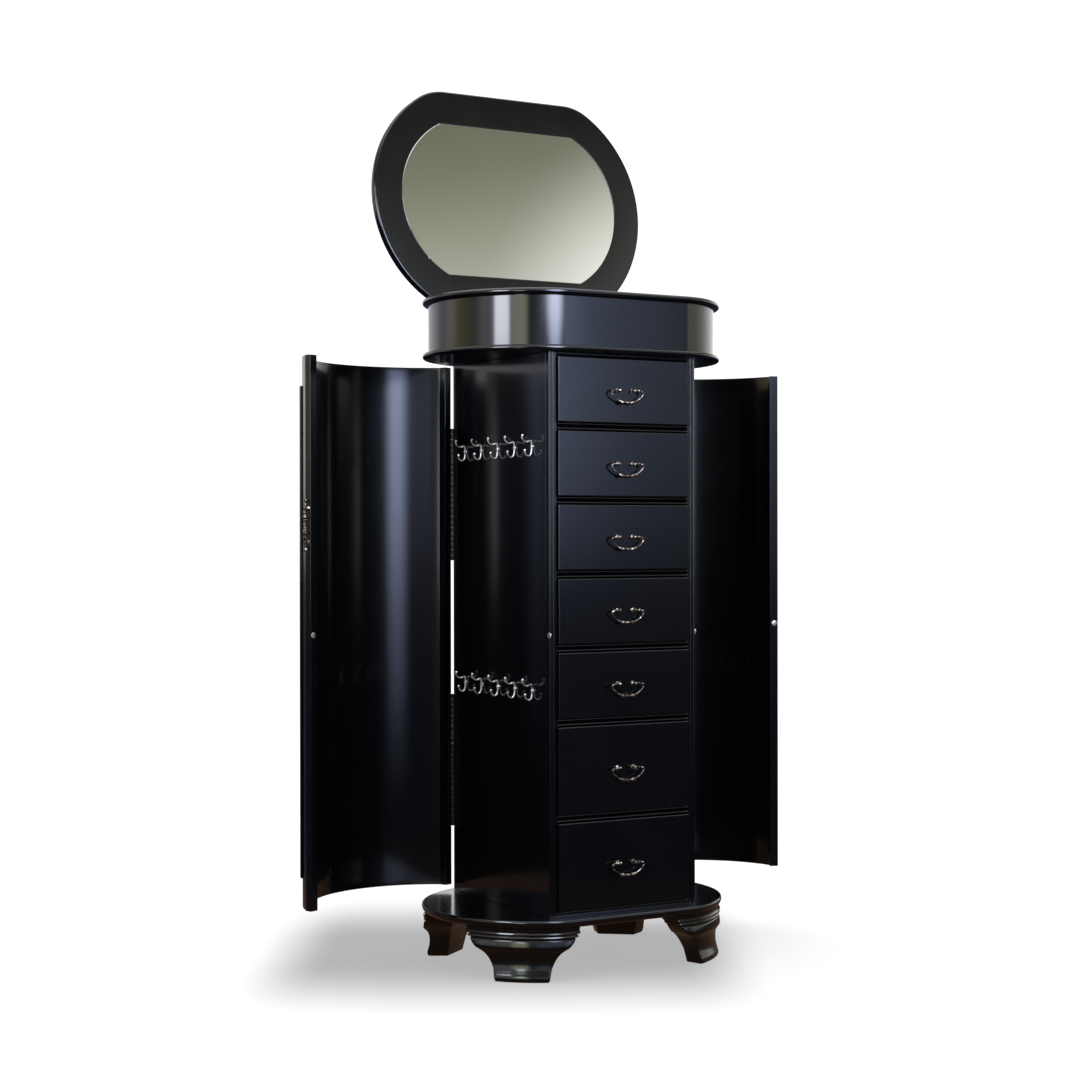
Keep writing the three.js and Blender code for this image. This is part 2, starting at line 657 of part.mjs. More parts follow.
export default model;
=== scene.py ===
import json
import math

import bpy
from mathutils import Matrix, Vector, noise


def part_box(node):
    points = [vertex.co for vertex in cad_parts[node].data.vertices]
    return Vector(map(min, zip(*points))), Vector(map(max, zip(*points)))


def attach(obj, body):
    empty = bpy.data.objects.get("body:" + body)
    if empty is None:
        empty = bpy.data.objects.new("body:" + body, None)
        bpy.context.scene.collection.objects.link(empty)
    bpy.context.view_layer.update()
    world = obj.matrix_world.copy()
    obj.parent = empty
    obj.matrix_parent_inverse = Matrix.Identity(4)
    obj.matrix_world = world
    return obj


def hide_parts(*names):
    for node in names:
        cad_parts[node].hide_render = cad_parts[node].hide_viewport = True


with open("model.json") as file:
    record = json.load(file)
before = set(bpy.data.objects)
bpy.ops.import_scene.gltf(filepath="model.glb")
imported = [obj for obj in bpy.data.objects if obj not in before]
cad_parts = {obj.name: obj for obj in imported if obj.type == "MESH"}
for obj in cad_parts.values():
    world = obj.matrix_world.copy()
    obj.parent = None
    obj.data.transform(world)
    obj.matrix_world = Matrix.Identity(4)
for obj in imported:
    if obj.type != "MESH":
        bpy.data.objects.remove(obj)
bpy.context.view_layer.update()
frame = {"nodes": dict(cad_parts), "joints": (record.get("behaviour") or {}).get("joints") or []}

# Oval standing jewelry armoire: black lacquer, aged brass pulls and necklace hooks, piano hinges
# and a mirrored lid. Shapes are made in millimetres from the middle of the oval and turned into
# metres of the shared frame when a piece is added.
MM = 0.001
plate_low, plate_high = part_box("base_plate")
MIDDLE = Vector(((plate_low.x + plate_high.x) / 2, (plate_low.y + plate_high.y) / 2, 0))
JOINTS = {joint["name"]: joint for joint in frame["joints"]}
SIDES = {"left": -1, "right": 1}


def box_mm(node):
    """Lowest and highest corner of a CAD node, in millimetres from the middle of the oval."""
    low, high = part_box(node)
    return (low - MIDDLE) / MM, (high - MIDDLE) / MM


def joint_mm(name):
    return (Vector(JOINTS[name]["pos_m"]) - MIDDLE) / MM


# ---- sizes ----
def oval_of(half_width, half_depth, straight, fillet):
    """Oval with straight sides of half-length `straight`, round ends and a fillet between them."""
    rise = half_width - straight
    end_radius = (rise ** 2 + half_depth ** 2) / (2 * rise)
    end_x = half_width - end_radius
    corner_y = half_depth - fillet
    corner_x = end_x + math.sqrt((end_radius - fillet) ** 2 - corner_y ** 2)
    turn = math.atan2(corner_y, corner_x - end_x)
    return {
        "end_radius": end_radius, "end_x": end_x, "turn": turn, "fillet": fillet,
        "corner_x": corner_x, "corner_y": corner_y, "half_depth": half_depth,
        "end_length": end_radius * turn, "corner_length": fillet * (math.pi / 2 - turn),
    }


base_low, base_high = box_mm("base_plate")
rim_low, rim_high = box_mm("top_box_rim")
flange_low, flange_high = box_mm("top_box_floor")
band_low, band_high = box_mm("top_box_wall")
frame_low, frame_high = box_mm("face_frame")
BASE_OVAL = oval_of(base_high.x, base_high.y, 118, 80)
RIM_OVAL = oval_of(rim_high.x, rim_high.y, 117, 80)
LID_OVAL = oval_of(box_mm("lid_board")[1].x, 177, 130, 80)
MIRROR_OVAL = oval_of(box_mm("mirror_glass")[1].x, 123.5, 120, 10)
LID_THICKNESS = 14.5
LID_GAP = 0.7
LID_CENTRE_Y = -7.5
LID_HINGE_HALF = 90
LID_MORTISE_Y = 149.7
BAND_INSET = 9
TRAY_INSET = 19
DIVIDER_X = 70
DIVIDER_Y = 25
DIVIDER_THICKNESS = 6

CABINET_X = frame_high.x
FRAME_Y = frame_low.y
DRAWER_PROUD = 5.5
FRONT_Y = FRAME_Y - DRAWER_PROUD
FRAME_DEPTH = frame_high.y - FRONT_Y
STILE = 13
LEAF = 1.1
LEAF_WIDTH = 14
KNUCKLE = 2.4
KNUCKLE_PITCH = 8.6
PIN = 1.0
PLATE_START = 2.6
SCREW_PITCH = 33


def linked(name, data):
    """A new object of the scene with this data."""
    thing = bpy.data.objects.new(name, data)
    bpy.context.scene.collection.objects.link(thing)
    return thing


# ---- shapes: lists of vertices and faces, in millimetres ----
def merged(*shapes):
    vertices, faces = [], []
    for more, polygons in shapes:
        start = len(vertices)
        vertices += [Vector(v) for v in more]
        faces += [[start + i for i in polygon] for polygon in polygons]
    return vertices, faces


def moved(shape, matrix):
    """The shape under a matrix, with its faces turned over if the matrix mirrors it."""
    vertices = [matrix @ Vector(v) for v in shape[0]]
    flip = matrix.to_3x3().determinant() < 0
    return vertices, [polygon[::-1] if flip else polygon for polygon in shape[1]]


def shifted(shape, x=0, y=0, z=0):
    return moved(shape, Matrix.Translation((x, y, z)))


def mirrored(shape, side):
    """The shape as it is for the right-hand side, or its mirror image for the left."""
    return moved(shape, Matrix.Diagonal((side, 1, 1, 1)))


def turned(shape, centre, axis, degrees):
    back, there = Matrix.Translation(-Vector(centre)), Matrix.Translation(Vector(centre))
    return moved(shape, there @ Matrix.Rotation(math.radians(degrees), 4, Vector(axis)) @ back)


def opened(shape, joint_name):
    """A shape made with the joint shut, turned to the rest position, where it stands open."""
    joint = JOINTS[joint_name]
    return turned(shape, joint_mm(joint_name), joint["axis"], -joint["range_deg"][1])


def loft(rings, closed=False):
    """Skin through rings of points. It ends in two flat caps, or joins up if closed."""
    count = len(rings[0])
    vertices = [point for ring in rings for point in ring]
    faces = []
    for level in range(len(rings) if closed else len(rings) - 1):
        above = (level + 1) % len(rings)
        for i in range(count):
            j = (i + 1) % count
            faces.append([level * count + i, level * count + j, above * count + j, above * count + i])
    if not closed:
        faces.append(list(range(count))[::-1])
        faces.append([(len(rings) - 1) * count + i for i in range(count)])
    return vertices, faces


def block(x0, x1, y0, y1, z0, z1):
    (x0, x1), (y0, y1), (z0, z1) = sorted((x0, x1)), sorted((y0, y1)), sorted((z0, z1))
    outline = [(x0, y0), (x1, y0), (x1, y1), (x0, y1)]
    return prism(outline, z0, z1)


def block_like(node):
    """Block as large as a CAD node."""
    low, high = box_mm(node)
    return block(low.x, high.x, low.y, high.y, low.z, high.z)


def prism(outline, z0, z1):
    """Plan outline, counter-clockwise, between two heights."""
    return loft([[(x, y, z) for x, y in outline] for z in (z0, z1)])


def lathe(profile, centre, axis, sides=24):
    """Profile of (radius, distance along the axis) turned about an axis through the centre."""
    turn = Vector((0, 0, 1)).rotation_difference(Vector(axis)).to_matrix().to_4x4()
    rings = []
    for radius, along in profile:
        angles = [2 * math.pi * i / sides for i in range(sides)]
        rings.append([(radius * math.cos(a), radius * math.sin(a), along) for a in angles])
    return moved(loft(rings), Matrix.Translation(Vector(centre)) @ turn)


def dome(radius, height, steps=5):
    """Half-round lathe profile that starts at full radius."""
    angles = [math.pi / 2 * i / steps for i in range(steps)]
    return [(radius * math.cos(a), height * math.sin(a)) for a in angles] + [(radius * 0.04, height)]


def smooth_line(points, steps=8):
    """Catmull-Rom curve through points of any dimension."""
    points = [Vector(p) for p in points]
    padded = [2 * points[0] - points[1], *points, 2 * points[-1] - points[-2]]
    line = []
    for a, b, c, d in zip(padded, padded[1:], padded[2:], padded[3:]):
        for i in range(steps):
            t = i / steps
            line.append(
                0.5 * (2 * b + (c - a) * t + (2 * a - 5 * b + 4 * c - d) * t ** 2
                       + (3 * b - a - 3 * c + d) * t ** 3)
            )
    return [*line, points[-1]]


def tube(path, radii, sides=12, flatten=1):
    """Round rod along a path with a radius at every point."""
    path = [Vector(p) for p in path]
    normal = None
    rings = []
    for i, point in enumerate(path):
        ahead = (path[min(i + 1, len(path) - 1)] - path[max(i - 1, 0)]).normalized()
        if normal is None:
            normal = ahead.orthogonal().normalized()
        normal = (normal - ahead * normal.dot(ahead)).normalized()
        side = ahead.cross(normal)
        rings.append([
            point + radii[i] * (math.cos(a) * normal + flatten * math.sin(a) * side)
            for a in (2 * math.pi * k / sides for k in range(sides))
        ])
    return loft(rings)


def bumped(path, base, bumps):
    """Radii along a path: a base radius with round swellings (distance along, width, height)."""
    path = [Vector(p) for p in path]
    radii, travelled = [], 0
    for i, point in enumerate(path):
        travelled += (point - path[i - 1]).length if i else 0
        swell = [
            height * math.sqrt(1 - ((travelled - centre) / width) ** 2)
            for centre, width, height in bumps if abs(travelled - centre) < width
        ]
        radii.append(base + max(swell, default=0))
    return radii


def path_length(path):
    return sum((Vector(b) - Vector(a)).length for a, b in zip(path, path[1:]))


# ---- ovals ----
def oval_point(oval, along, inset):
    """Point of the first quadrant at a distance along the outline from the end of the oval."""
    end_length, corner_length = oval["end_length"], oval["corner_length"]
    if along <= end_length:
        angle = along / oval["end_radius"]
        radius = oval["end_radius"] - inset
        return oval["end_x"] + radius * math.cos(angle), radius * math.sin(angle)
    if along <= end_length + corner_length:
        angle = oval["turn"] + (along - end_length) / oval["fillet"]
        radius = oval["fillet"] - inset
        return oval["corner_x"] + radius * math.cos(angle), oval["corner_y"] + radius * math.sin(angle)
    return oval["corner_x"] - (along - end_length - corner_length), oval["half_depth"] - inset


def oval_ring(oval, inset, z, centre_y=0, end_steps=26, corner_steps=12, flat_steps=3):
    end_length, corner_length = oval["end_length"], oval["corner_length"]
    stations = [end_length * i / end_steps for i in range(end_steps)]
    stations += [end_length + corner_length * i / corner_steps for i in range(corner_steps)]
    flat = oval["corner_x"]
    stations += [end_length + corner_length + flat * i / flat_steps for i in range(flat_steps + 1)]
    quarter = [oval_point(oval, along, inset) for along in stations]
    back = quarter[::-1]
    ring = quarter + [(-x, y) for x, y in back[1:]]
    ring += [(-x, -y) for x, y in quarter[1:]]
    ring += [(x, -y) for x, y in back[1:-1]]
    return [(x, y + centre_y, z) for x, y in ring]


def oval_solid(levels, centre_y=0, closed=False):
    """Oval body through levels of (oval, inset, z)."""
    return loft([oval_ring(oval, inset, z, centre_y) for oval, inset, z in levels], closed)


def bullnose(oval, z0, z1, inset=0, steps=8):
    """Levels of a half-round edge between two heights."""
    radius = (z1 - z0) / 2
    levels = []
    for i in range(steps + 1):
        angle = math.pi * (i / steps - 0.5)
        z = (z0 + z1) / 2 + radius * math.sin(angle)
        levels.append((oval, inset + radius * (1 - math.cos(angle)), z))
    return levels


# ---- materials ----
class Nodes:
    """Short way to build a node tree around one Principled shader."""

    def __init__(self, name):
        self.material = bpy.data.materials.new(name)
        self.material.use_nodes = True
        self.tree = self.material.node_tree
        self.shader = next(n for n in self.tree.nodes if n.type == "BSDF_PRINCIPLED")
        self.place = self.add("TexCoord").outputs["Object"]

    def add(self, kind, inputs=(), **settings):
        node = self.tree.nodes.new("ShaderNode" + kind)
        for key, value in settings.items():
            setattr(node, key, value)
        for socket, value in dict(inputs).items():
            self.give(node.inputs[socket], value)
        return node

    def give(self, socket, value):
        if isinstance(value, bpy.types.NodeSocket):
            self.tree.links.new(value, socket)
        else:
            socket.default_value = value

    def set(self, **values):
        for name, value in values.items():
            self.give(self.shader.inputs[name.replace("_", " ")], value)

    def stretched(self, scale):
        """The object's coordinates, scaled along each axis."""
        node = self.add("Mapping", {"Vector": self.place, "Scale": scale})
        return node.outputs["Vector"]

    def noise(self, scale, detail=3, where=None, roughness=0.5):
        inputs = {"Vector": where or self.place, "Scale": scale, "Detail": detail, "Roughness": roughness}
        return self.add("TexNoise", inputs).outputs["Fac"]

    def between(self, value, low, high, start=0.3, end=0.7):
        """A value from `start` to `end` spread over the range from `low` to `high`."""
        inputs = {"Value": value, "From Min": start, "From Max": end, "To Min": low, "To Max": high}
        return self.add("MapRange", inputs).outputs["Result"]

    def blend(self, factor, first, second):
        node = self.add("Mix", data_type="RGBA")
        for index, value in ((0, factor), (6, (*first, 1)), (7, (*second, 1))):
            self.give(node.inputs[index], value)
        return node.outputs[2]

    def math(self, operation, *values):
        node = self.add("Math", operation=operation)
        for index, value in enumerate(values):
            self.give(node.inputs[index], value)
        return node.outputs[0]

    def step(self, value, start, end):
        """Smooth rise from 0 at start to 1 at end."""
        inputs = {"Value": value, "From Min": start, "From Max": end}
        return self.add("MapRange", inputs, interpolation_type="SMOOTHSTEP").outputs["Result"]

    def bump(self, height, distance, strength=1.0, under=None):
        inputs = {"Height": height, "Distance": distance, "Strength": strength}
        if under is not None:
            inputs["Normal"] = under
        return self.add("Bump", inputs).outputs["Normal"]


def lacquer_material():
    """Black lacquer over wood: slow colour drift, rubbed sheen, orange peel and a hint of grain."""
    nodes = Nodes("black_lacquer")
    drift = nodes.noise(6, 4)
    nodes.set(Base_Color=nodes.blend(drift, (0.0006, 0.0006, 0.0009), (0.0016, 0.0016, 0.0022)))
    rubbed = nodes.noise(14, 5, roughness=0.6)
    nodes.set(Roughness=nodes.between(rubbed, 0.24, 0.34), Specular_IOR_Level=0.06)
    grain = nodes.noise(60, 4, where=nodes.stretched((9, 9, 0.5)))
    peel = nodes.noise(420, 2)
    under = nodes.bump(grain, 0.00004, 0.08)
    nodes.set(Normal=nodes.bump(peel, 0.00002, 0.06, under))
    nodes.set(Coat_Weight=0.95, Coat_Roughness=0.12, IOR=1.5)
    return nodes.material


def brass_material(name, crown, patina, metallic=1.0):
    """Cast brass: bright metal and dark patina in blotches, spread between two levels of noise."""
    nodes = Nodes(name)
    blotch = nodes.noise(260, 4, roughness=0.65)
    wear = nodes.between(blotch, 0, 1, *patina)
    nodes.set(Base_Color=nodes.blend(wear, (0.05, 0.037, 0.028), crown), Metallic=metallic)
    nodes.set(Roughness=nodes.between(blotch, 0.5, 0.26))
    nodes.set(Normal=nodes.bump(nodes.noise(900, 3), 0.00012, 0.6))
    return nodes.material


def steel_material():
    """Hinge steel under thin black paint that has rubbed through in specks."""
    nodes = Nodes("hinge_steel")
    worn = nodes.between(nodes.noise(340, 5, roughness=0.7), 0, 1, 0.6, 0.72)
    nodes.set(Base_Color=nodes.blend(worn, (0.02, 0.02, 0.022), (0.22, 0.2, 0.18)), Metallic=0.9)
    nodes.set(Roughness=nodes.between(nodes.noise(120, 3), 0.32, 0.46))
    nodes.set(Normal=nodes.bump(nodes.noise(700, 3), 0.00006, 0.4))
    return nodes.material


def mirror_material():
    """Silvered glass with the faint haze of an old wipe."""
    nodes = Nodes("silvered_glass")
    haze = nodes.noise(9, 4, where=nodes.stretched((1, 1, 2.2)))
    nodes.set(Base_Color=nodes.blend(haze, (0.81, 0.825, 0.80), (0.85, 0.865, 0.845)), Metallic=1.0)
    nodes.set(Roughness=nodes.between(haze, 0.012, 0.03))
    return nodes.material


def felt_material():
    """Black velvet-like felt: mottled nap with a soft sheen."""
    nodes = Nodes("black_felt")
    nap = nodes.noise(35, 5, roughness=0.6)
    nodes.set(Base_Color=nodes.blend(nap, (0.009, 0.009, 0.011), (0.022, 0.021, 0.025)))
    nodes.set(Roughness=nodes.between(nap, 0.82, 0.96), Sheen_Weight=0.35, Sheen_Roughness=0.45)
    nodes.set(Normal=nodes.bump(nodes.noise(1500, 4, roughness=0.7), 0.0003, 0.5))
    return nodes.material


def wood_material():
    """Bare wood of the parts that stay hidden, grain along the drawers' travel."""
    nodes = Nodes("bare_wood")
    rings = nodes.noise(30, 6, where=nodes.stretched((4, 0.35, 4)), roughness=0.6)
    nodes.set(Base_Color=nodes.blend(rings, (0.16, 0.09, 0.045), (0.36, 0.24, 0.13)))
    nodes.set(Roughness=nodes.between(rings, 0.5, 0.68), Normal=nodes.bump(rings, 0.0002, 0.4))
    return nodes.material


MATERIALS = {
    "lacquer": lacquer_material(),
    "aged_brass": brass_material("antique_brass", (0.54, 0.46, 0.39), (0.48, 0.64)),
    "rubbed_brass": brass_material("rubbed_brass", (0.6, 0.56, 0.52), (0.34, 0.52), 0.85),
    "hinge_steel": steel_material(),
    "mirror": mirror_material(),
    "felt": felt_material(),
    "bare_wood": wood_material(),
}


# ---- pieces ----
def add_piece(name, shape, slot, body, replaces=(), sharp=38, finish=None):
    """A mesh object in metres that rides on a body, takes its finish and stands for CAD nodes."""
    vertices, faces = shape
    mesh = bpy.data.meshes.new(name)
    mesh.from_pydata([Vector(v) * MM + MIDDLE for v in vertices], [], faces)
    mesh.polygons.foreach_set("use_smooth", [True] * len(mesh.polygons))
    if sharp:
        mesh.set_sharp_from_angle(angle=math.radians(sharp))
    mesh.materials.append(MATERIALS[finish or slot])
    piece = linked(name, mesh)
    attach(piece, body)
    if replaces:
        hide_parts(*replaces)
    return piece


def round_edges(piece, width, segments=2, angle=40):
    """Bevels every edge sharper than the angle, in millimetres."""
    bevel = piece.modifiers.new("round_edges", "BEVEL")
    bevel.width = width * MM
    bevel.segments = segments
    bevel.limit_method = "ANGLE"
    bevel.angle_limit = math.radians(angle)
    bevel.use_clamp_overlap = True
    bevel.harden_normals = True
    return piece


def flatten(piece):
    """Keeps broad flat faces flat where they meet a rounded edge."""
    piece.modifiers.new("flatten", "WEIGHTED_NORMAL").keep_sharp = True
    return piece


def carved(shape, *cutters):
    """The shape with closed cutter shapes taken away, all in millimetres."""
    objects = []
    for vertices, faces in (shape, merged(*cutters)):
        mesh = bpy.data.meshes.new("carving")
        mesh.from_pydata([Vector(v) for v in vertices], [], faces)
        objects.append(linked("carving", mesh))
    body, tool = objects
    cut = body.modifiers.new("cut", "BOOLEAN")
    cut.operation = "DIFFERENCE"
    cut.solver = "EXACT"
    cut.object = tool
    bpy.context.view_layer.update()
    result = body.evaluated_get(bpy.context.evaluated_depsgraph_get()).to_mesh()
    carving = [v.co.copy() for v in result.vertices], [list(p.vertices) for p in result.polygons]
    for done in objects:
        bpy.data.objects.remove(done)
    return carving


# ---- base and feet ----
def add_base():
    edge = [(4.5, 0), (3.1, 0.6), (1.7, 2.4), (0.5, 4.8), (0, 7.6), (0.1, 9), (0.6, 10.4), (1.5, 11.4)]
    levels = [(BASE_OVAL, inset, base_low.z + rise) for inset, rise in edge]
    levels.append((BASE_OVAL, 2.8, base_high.z))
    flatten(add_piece("base_plate_fine", oval_solid(levels), "lacquer", "cabinet", ["base_plate"], sharp=50))


# Foot from the floor up: height, half of its length along the oval, inset of its outer face,
# and how deep it reaches under the base. The toe, cove and ovolo make one smooth run.
FOOT_RUN = [
    (0, 40.6, 7.4, 37.6), (1.6, 42, 4.6, 38), (7, 43.6, 4.4, 39), (13, 45, 6.2, 40.4), (21, 47.4, 8.4, 42),
    (32, 54, 9.2, 46), (40, 61, 7.6, 49.4), (46, 68.8, 3.6, 52.6), (49, 74, 2.1, 55), (55, 80.6, 2.6, 57.6),
    (60, 84.4, 3.6, 59.4), (61, 85, 4.8, 60),
]
# fillets and beads under the base: height, and the same three measures
FOOT_STEPS = [
    (61.2, 85, 6, 60), (63, 86, 6, 61), (63.2, 88, 3.6, 62), (64.6, 89, 2.6, 62.6), (66, 89, 3.4, 63),
    (66.2, 88, 5.8, 63), (68, 88.6, 5.8, 63.6), (68.2, 91, 3, 64.6), (69.8, 92, 2, 65.4), (71.4, 92, 2.8, 66),
    (71.6, 91.6, 4.4, 66.4), (77.9, 92, 3.8, 68),
]
FOOT_CENTRE_ALONG = 163
FOOT_INNER_WIDTH = 0.7
FOOT_CORNER = 2.2


def foot_ring(z, half, inset, depth):
    """Plan of a foot at one height: an outer face along the oval and a narrower back."""
    outer = [oval_point(BASE_OVAL, FOOT_CENTRE_ALONG + half * (i / 10 - 1), inset) for i in range(21)]
    facing = FOOT_CENTRE_ALONG / BASE_OVAL["end_radius"]
    normal = Vector((math.cos(facing), math.sin(facing)))
    tangent = Vector((-normal.y, normal.x))
    back = Vector((BASE_OVAL["end_x"], 0)) + normal * (BASE_OVAL["end_radius"] - depth)
    reach = half * FOOT_INNER_WIDTH
    corners = [*map(Vector, outer), back + tangent * reach, back - tangent * reach]
    ring = []
    for i, corner in enumerate(corners):
        if 0 < i < 20:
            ring.append(corner)
            continue
        before = (corners[i - 1] - corner).normalized() * FOOT_CORNER
        after = (corners[(i + 1) % len(corners)] - corner).normalized() * FOOT_CORNER
        for t in (0, 0.25, 0.5, 0.75, 1):
            ring.append(corner + before * (1 - t) ** 2 + after * t ** 2)
    return [(x, y, z) for x, y in ring]


def add_feet():
    levels = [tuple(level) for level in smooth_line(FOOT_RUN, 5)] + FOOT_STEPS
    foot = loft([foot_ring(*level) for level in levels])
    for end, sy in (("front", -1), ("rear", 1)):
        for side_name, side in SIDES.items():
            corner = f"{end}_{side_name}"
            shape = moved(foot, Matrix.Diagonal((side, sy, 1, 1)))
            add_piece(f"carved_foot_{corner}", shape, "lacquer", "cabinet", [f"foot_{corner}"], sharp=42)


# ---- cabinet ----
def drawer_openings():
    """z range of every drawer opening, the front with the joint's gap round it."""
    fronts = [box_mm(f"drawer_{number}_front") for number in range(1, 8)]
    return [(low.z - 0.8, high.z + 0.8) for low, high in fronts]


BEAD = 3.1
BEAD_RISE = 1.3
STILE_BEADS = (-7.6, -2.2)


def bead(length, width=BEAD, rise=BEAD_RISE):
    """Half-round strip along X, its flat back on y = 0 and its crown towards -Y."""
    steps = 7
    profile = [(-0.6, -width / 2)]
    for i in range(steps + 1):
        angle = math.pi * i / steps
        profile.append((rise * math.sin(angle), -width / 2 * math.cos(angle)))
    profile.append((-0.6, width / 2))
    return loft([[(x, -out, up) for out, up in profile[::-1]] for x in (-length / 2, length / 2)])


def groove(length, z, half_height=1.9, depth=5):
    """V-shaped cutter along X that scores a rail between its two beads."""
    profile = [(-1, -half_height - 0.6), (-1, half_height + 0.6), (depth, 0)]
    return loft([[(x, FRAME_Y + y, z + up) for y, up in profile] for x in (length / 2, -length / 2)])


def add_face_frame():
    inner = CABINET_X - STILE
    low, high = frame_low, frame_high
    openings = drawer_openings()
    holes = [block(-inner, inner, low.y - 1, high.y + 1, z0, z1) for z0, z1 in openings]
    rails = [(above[0] + below[1]) / 2 for above, below in zip(openings, openings[1:])]
    holes += [groove(2 * inner - 0.5, z) for z in rails]
    shape = carved(block_like("face_frame"), *holes)
    round_edges(add_piece("front_frame", shape, "lacquer", "cabinet", ["face_frame"], sharp=0), 0.7)

    edges = [z for z0, z1 in openings for z in (z0 - BEAD / 2, z1 + BEAD / 2)]
    strips = [shifted(bead(2 * inner), 0, FRAME_Y, z) for z in edges]
    upright = turned(bead(high.z - low.z, 3.4, 1.5), (0, 0, 0), (0, 1, 0), 90)
    stiles = [side * (CABINET_X + offset) for side in SIDES.values() for offset in STILE_BEADS]
    strips += [shifted(upright, x, FRAME_Y, (low.z + high.z) / 2) for x in stiles]
    add_piece("front_frame_beads", merged(*strips), "lacquer", "cabinet", sharp=50)


def hinge_levels():
    """z range of the lower and the upper hinge of a door."""
    boxes = [box_mm(f"door_hinge_left_{level}_fixed") for level in ("lower", "upper")]
    return [(low.z, high.z) for low, high in boxes]


def add_side_panels():
    for side_name, side in SIDES.items():
        node = f"side_panel_{side_name}"
        back = box_mm(node)[1].y
        front = back - LEAF_WIDTH - 0.3
        outer = side * CABINET_X
        cuts = [
            block(outer + side, outer - side * (LEAF + 0.3), front, back + 1, z0 - 0.3, z1 + 0.3)
            for z0, z1 in hinge_levels()
        ]
        shape = carved(block_like(node), *cuts)
        round_edges(add_piece(f"cabinet_side_{side_name}", shape, "lacquer", "cabinet", [node], sharp=0), 0.5)


def add_back_panel():
    shape = block_like("back_panel")
    round_edges(add_piece("cabinet_back", shape, "lacquer", "cabinet", ["back_panel"], sharp=0), 0.5)


# ---- necklace hooks ----
# one hook in its own plane: distance out from the panel, height from its top corner
HOOK_LINE = [
    (16.6, 8.6), (18, 4.7), (15.6, 0.8), (10.7, -1.7), (6, -0.6), (2.4, -0.5),
    (1.7, -4), (1.7, -14), (3, -19.6), (6.8, -22.4), (11.3, -20.4), (13.2, -16.4), (12.8, -13),
]
HOOK_PITCH = 53.3
HOOK_CENTRE_Y = 5
HOOK_SCREW_DROP = 9


def hook_shape():
    """Cast hook on the right-hand panel, at y = 0, its top corner at z = 0."""
    line = smooth_line([(out, 0, up) for out, up in HOOK_LINE], 7)
    length = path_length(line)
    swells = [(1.4, 2.1, 0.75), (length - 1.4, 2.1, 0.75), (0.36 * length, 6, 0.45), (0.7 * length, 7, 0.3)]
    radii = bumped(line, 1.08, swells)
    wire = tube(line, radii, 10)
    profile = [(0.1, 0), (3.2, 0), (3.4, 0.5), (3, 1.2), (2, 1.5), (0.1, 1.6)]
    pad = lathe(profile, (0, 0, -HOOK_SCREW_DROP), (1, 0, 0))
    head = lathe(dome(1.9, 1.3), (2.4, 0, -HOOK_SCREW_DROP), (1, 0, 0), 16)
    return merged(wire, pad, head)


def add_hooks():
    for side_name, side in SIDES.items():
        for row in ("upper", "lower"):
            node = f"hook_row_{side_name}_{row}"
            top = box_mm(node)[1].z - 9.5
            hook = mirrored(hook_shape(), side)
            hooks = [
                shifted(hook, side * CABINET_X, HOOK_CENTRE_Y + i * HOOK_PITCH, top) for i in range(-2, 3)
            ]
            name = f"necklace_hooks_{side_name}_{row}"
            add_piece(name, merged(*hooks), "aged_brass", "cabinet", [node], 60, "rubbed_brass")


# ---- top box ----
def add_top_box():
    flange = oval_solid(bullnose(RIM_OVAL, flange_low.z, flange_high.z))
    flatten(add_piece("top_box_flange", flange, "lacquer", "cabinet", ["top_box_floor"], sharp=50))

    low, high = band_low.z - 0.3, band_high.z + 0.3
    corners = ((BAND_INSET, low), (BAND_INSET, high), (TRAY_INSET, high), (TRAY_INSET, low))
    band = [(RIM_OVAL, inset, z) for inset, z in corners]
    add_piece("top_box_band", oval_solid(band, closed=True), "lacquer", "cabinet", ["top_box_wall"], sharp=50)

    top, bottom, inner = rim_high.z, rim_low.z, TRAY_INSET + 2
    corners = ((inner - 1, top), (inner, top - 1), (inner, bottom + 1), (inner - 1, bottom))
    rim = bullnose(RIM_OVAL, bottom, top) + [(RIM_OVAL, inset, z) for inset, z in corners]
    half = LID_HINGE_HALF + 0.3
    mortise = block(-half, half, LID_MORTISE_Y, rim_high.y + 1, top - LEAF - 0.4, top + 1)
    shape = carved(oval_solid(rim, closed=True), mortise)
    flatten(add_piece("top_box_edge", shape, "lacquer", "cabinet", ["top_box_rim"], sharp=50))


def add_tray():
    floor = band_low.z
    top = rim_low.z - 3
    profile = [(3, floor + 1.5), (1.6, floor + 2.5), (1.6, top - 1), (1.2, top), (0.2, top)]
    profile.append((0.2, floor - 0.2))
    lining = oval_solid([(RIM_OVAL, TRAY_INSET + thick, z) for thick, z in profile])
    add_piece("tray_lining", lining, "felt", "cabinet", sharp=60)

    low, high = box_mm("tray_divider")
    bottom, half = low.z + 1, DIVIDER_THICKNESS / 2
    front, back = DIVIDER_Y - half, DIVIDER_Y + half
    walls = [block(low.x + 6, high.x - 6, front, back, bottom, high.z)]
    for x in (-DIVIDER_X, DIVIDER_X):
        walls.append(block(x - half, x + half, back, 146, bottom, high.z))
        walls.append(block(x - half, x + half, -145, front, bottom, high.z))
    lattice = add_piece("tray_partitions", merged(*walls), "felt", "cabinet", ["tray_divider"], sharp=0)
    round_edges(lattice, 1.8, 3)


ROLL_COUNT = 9


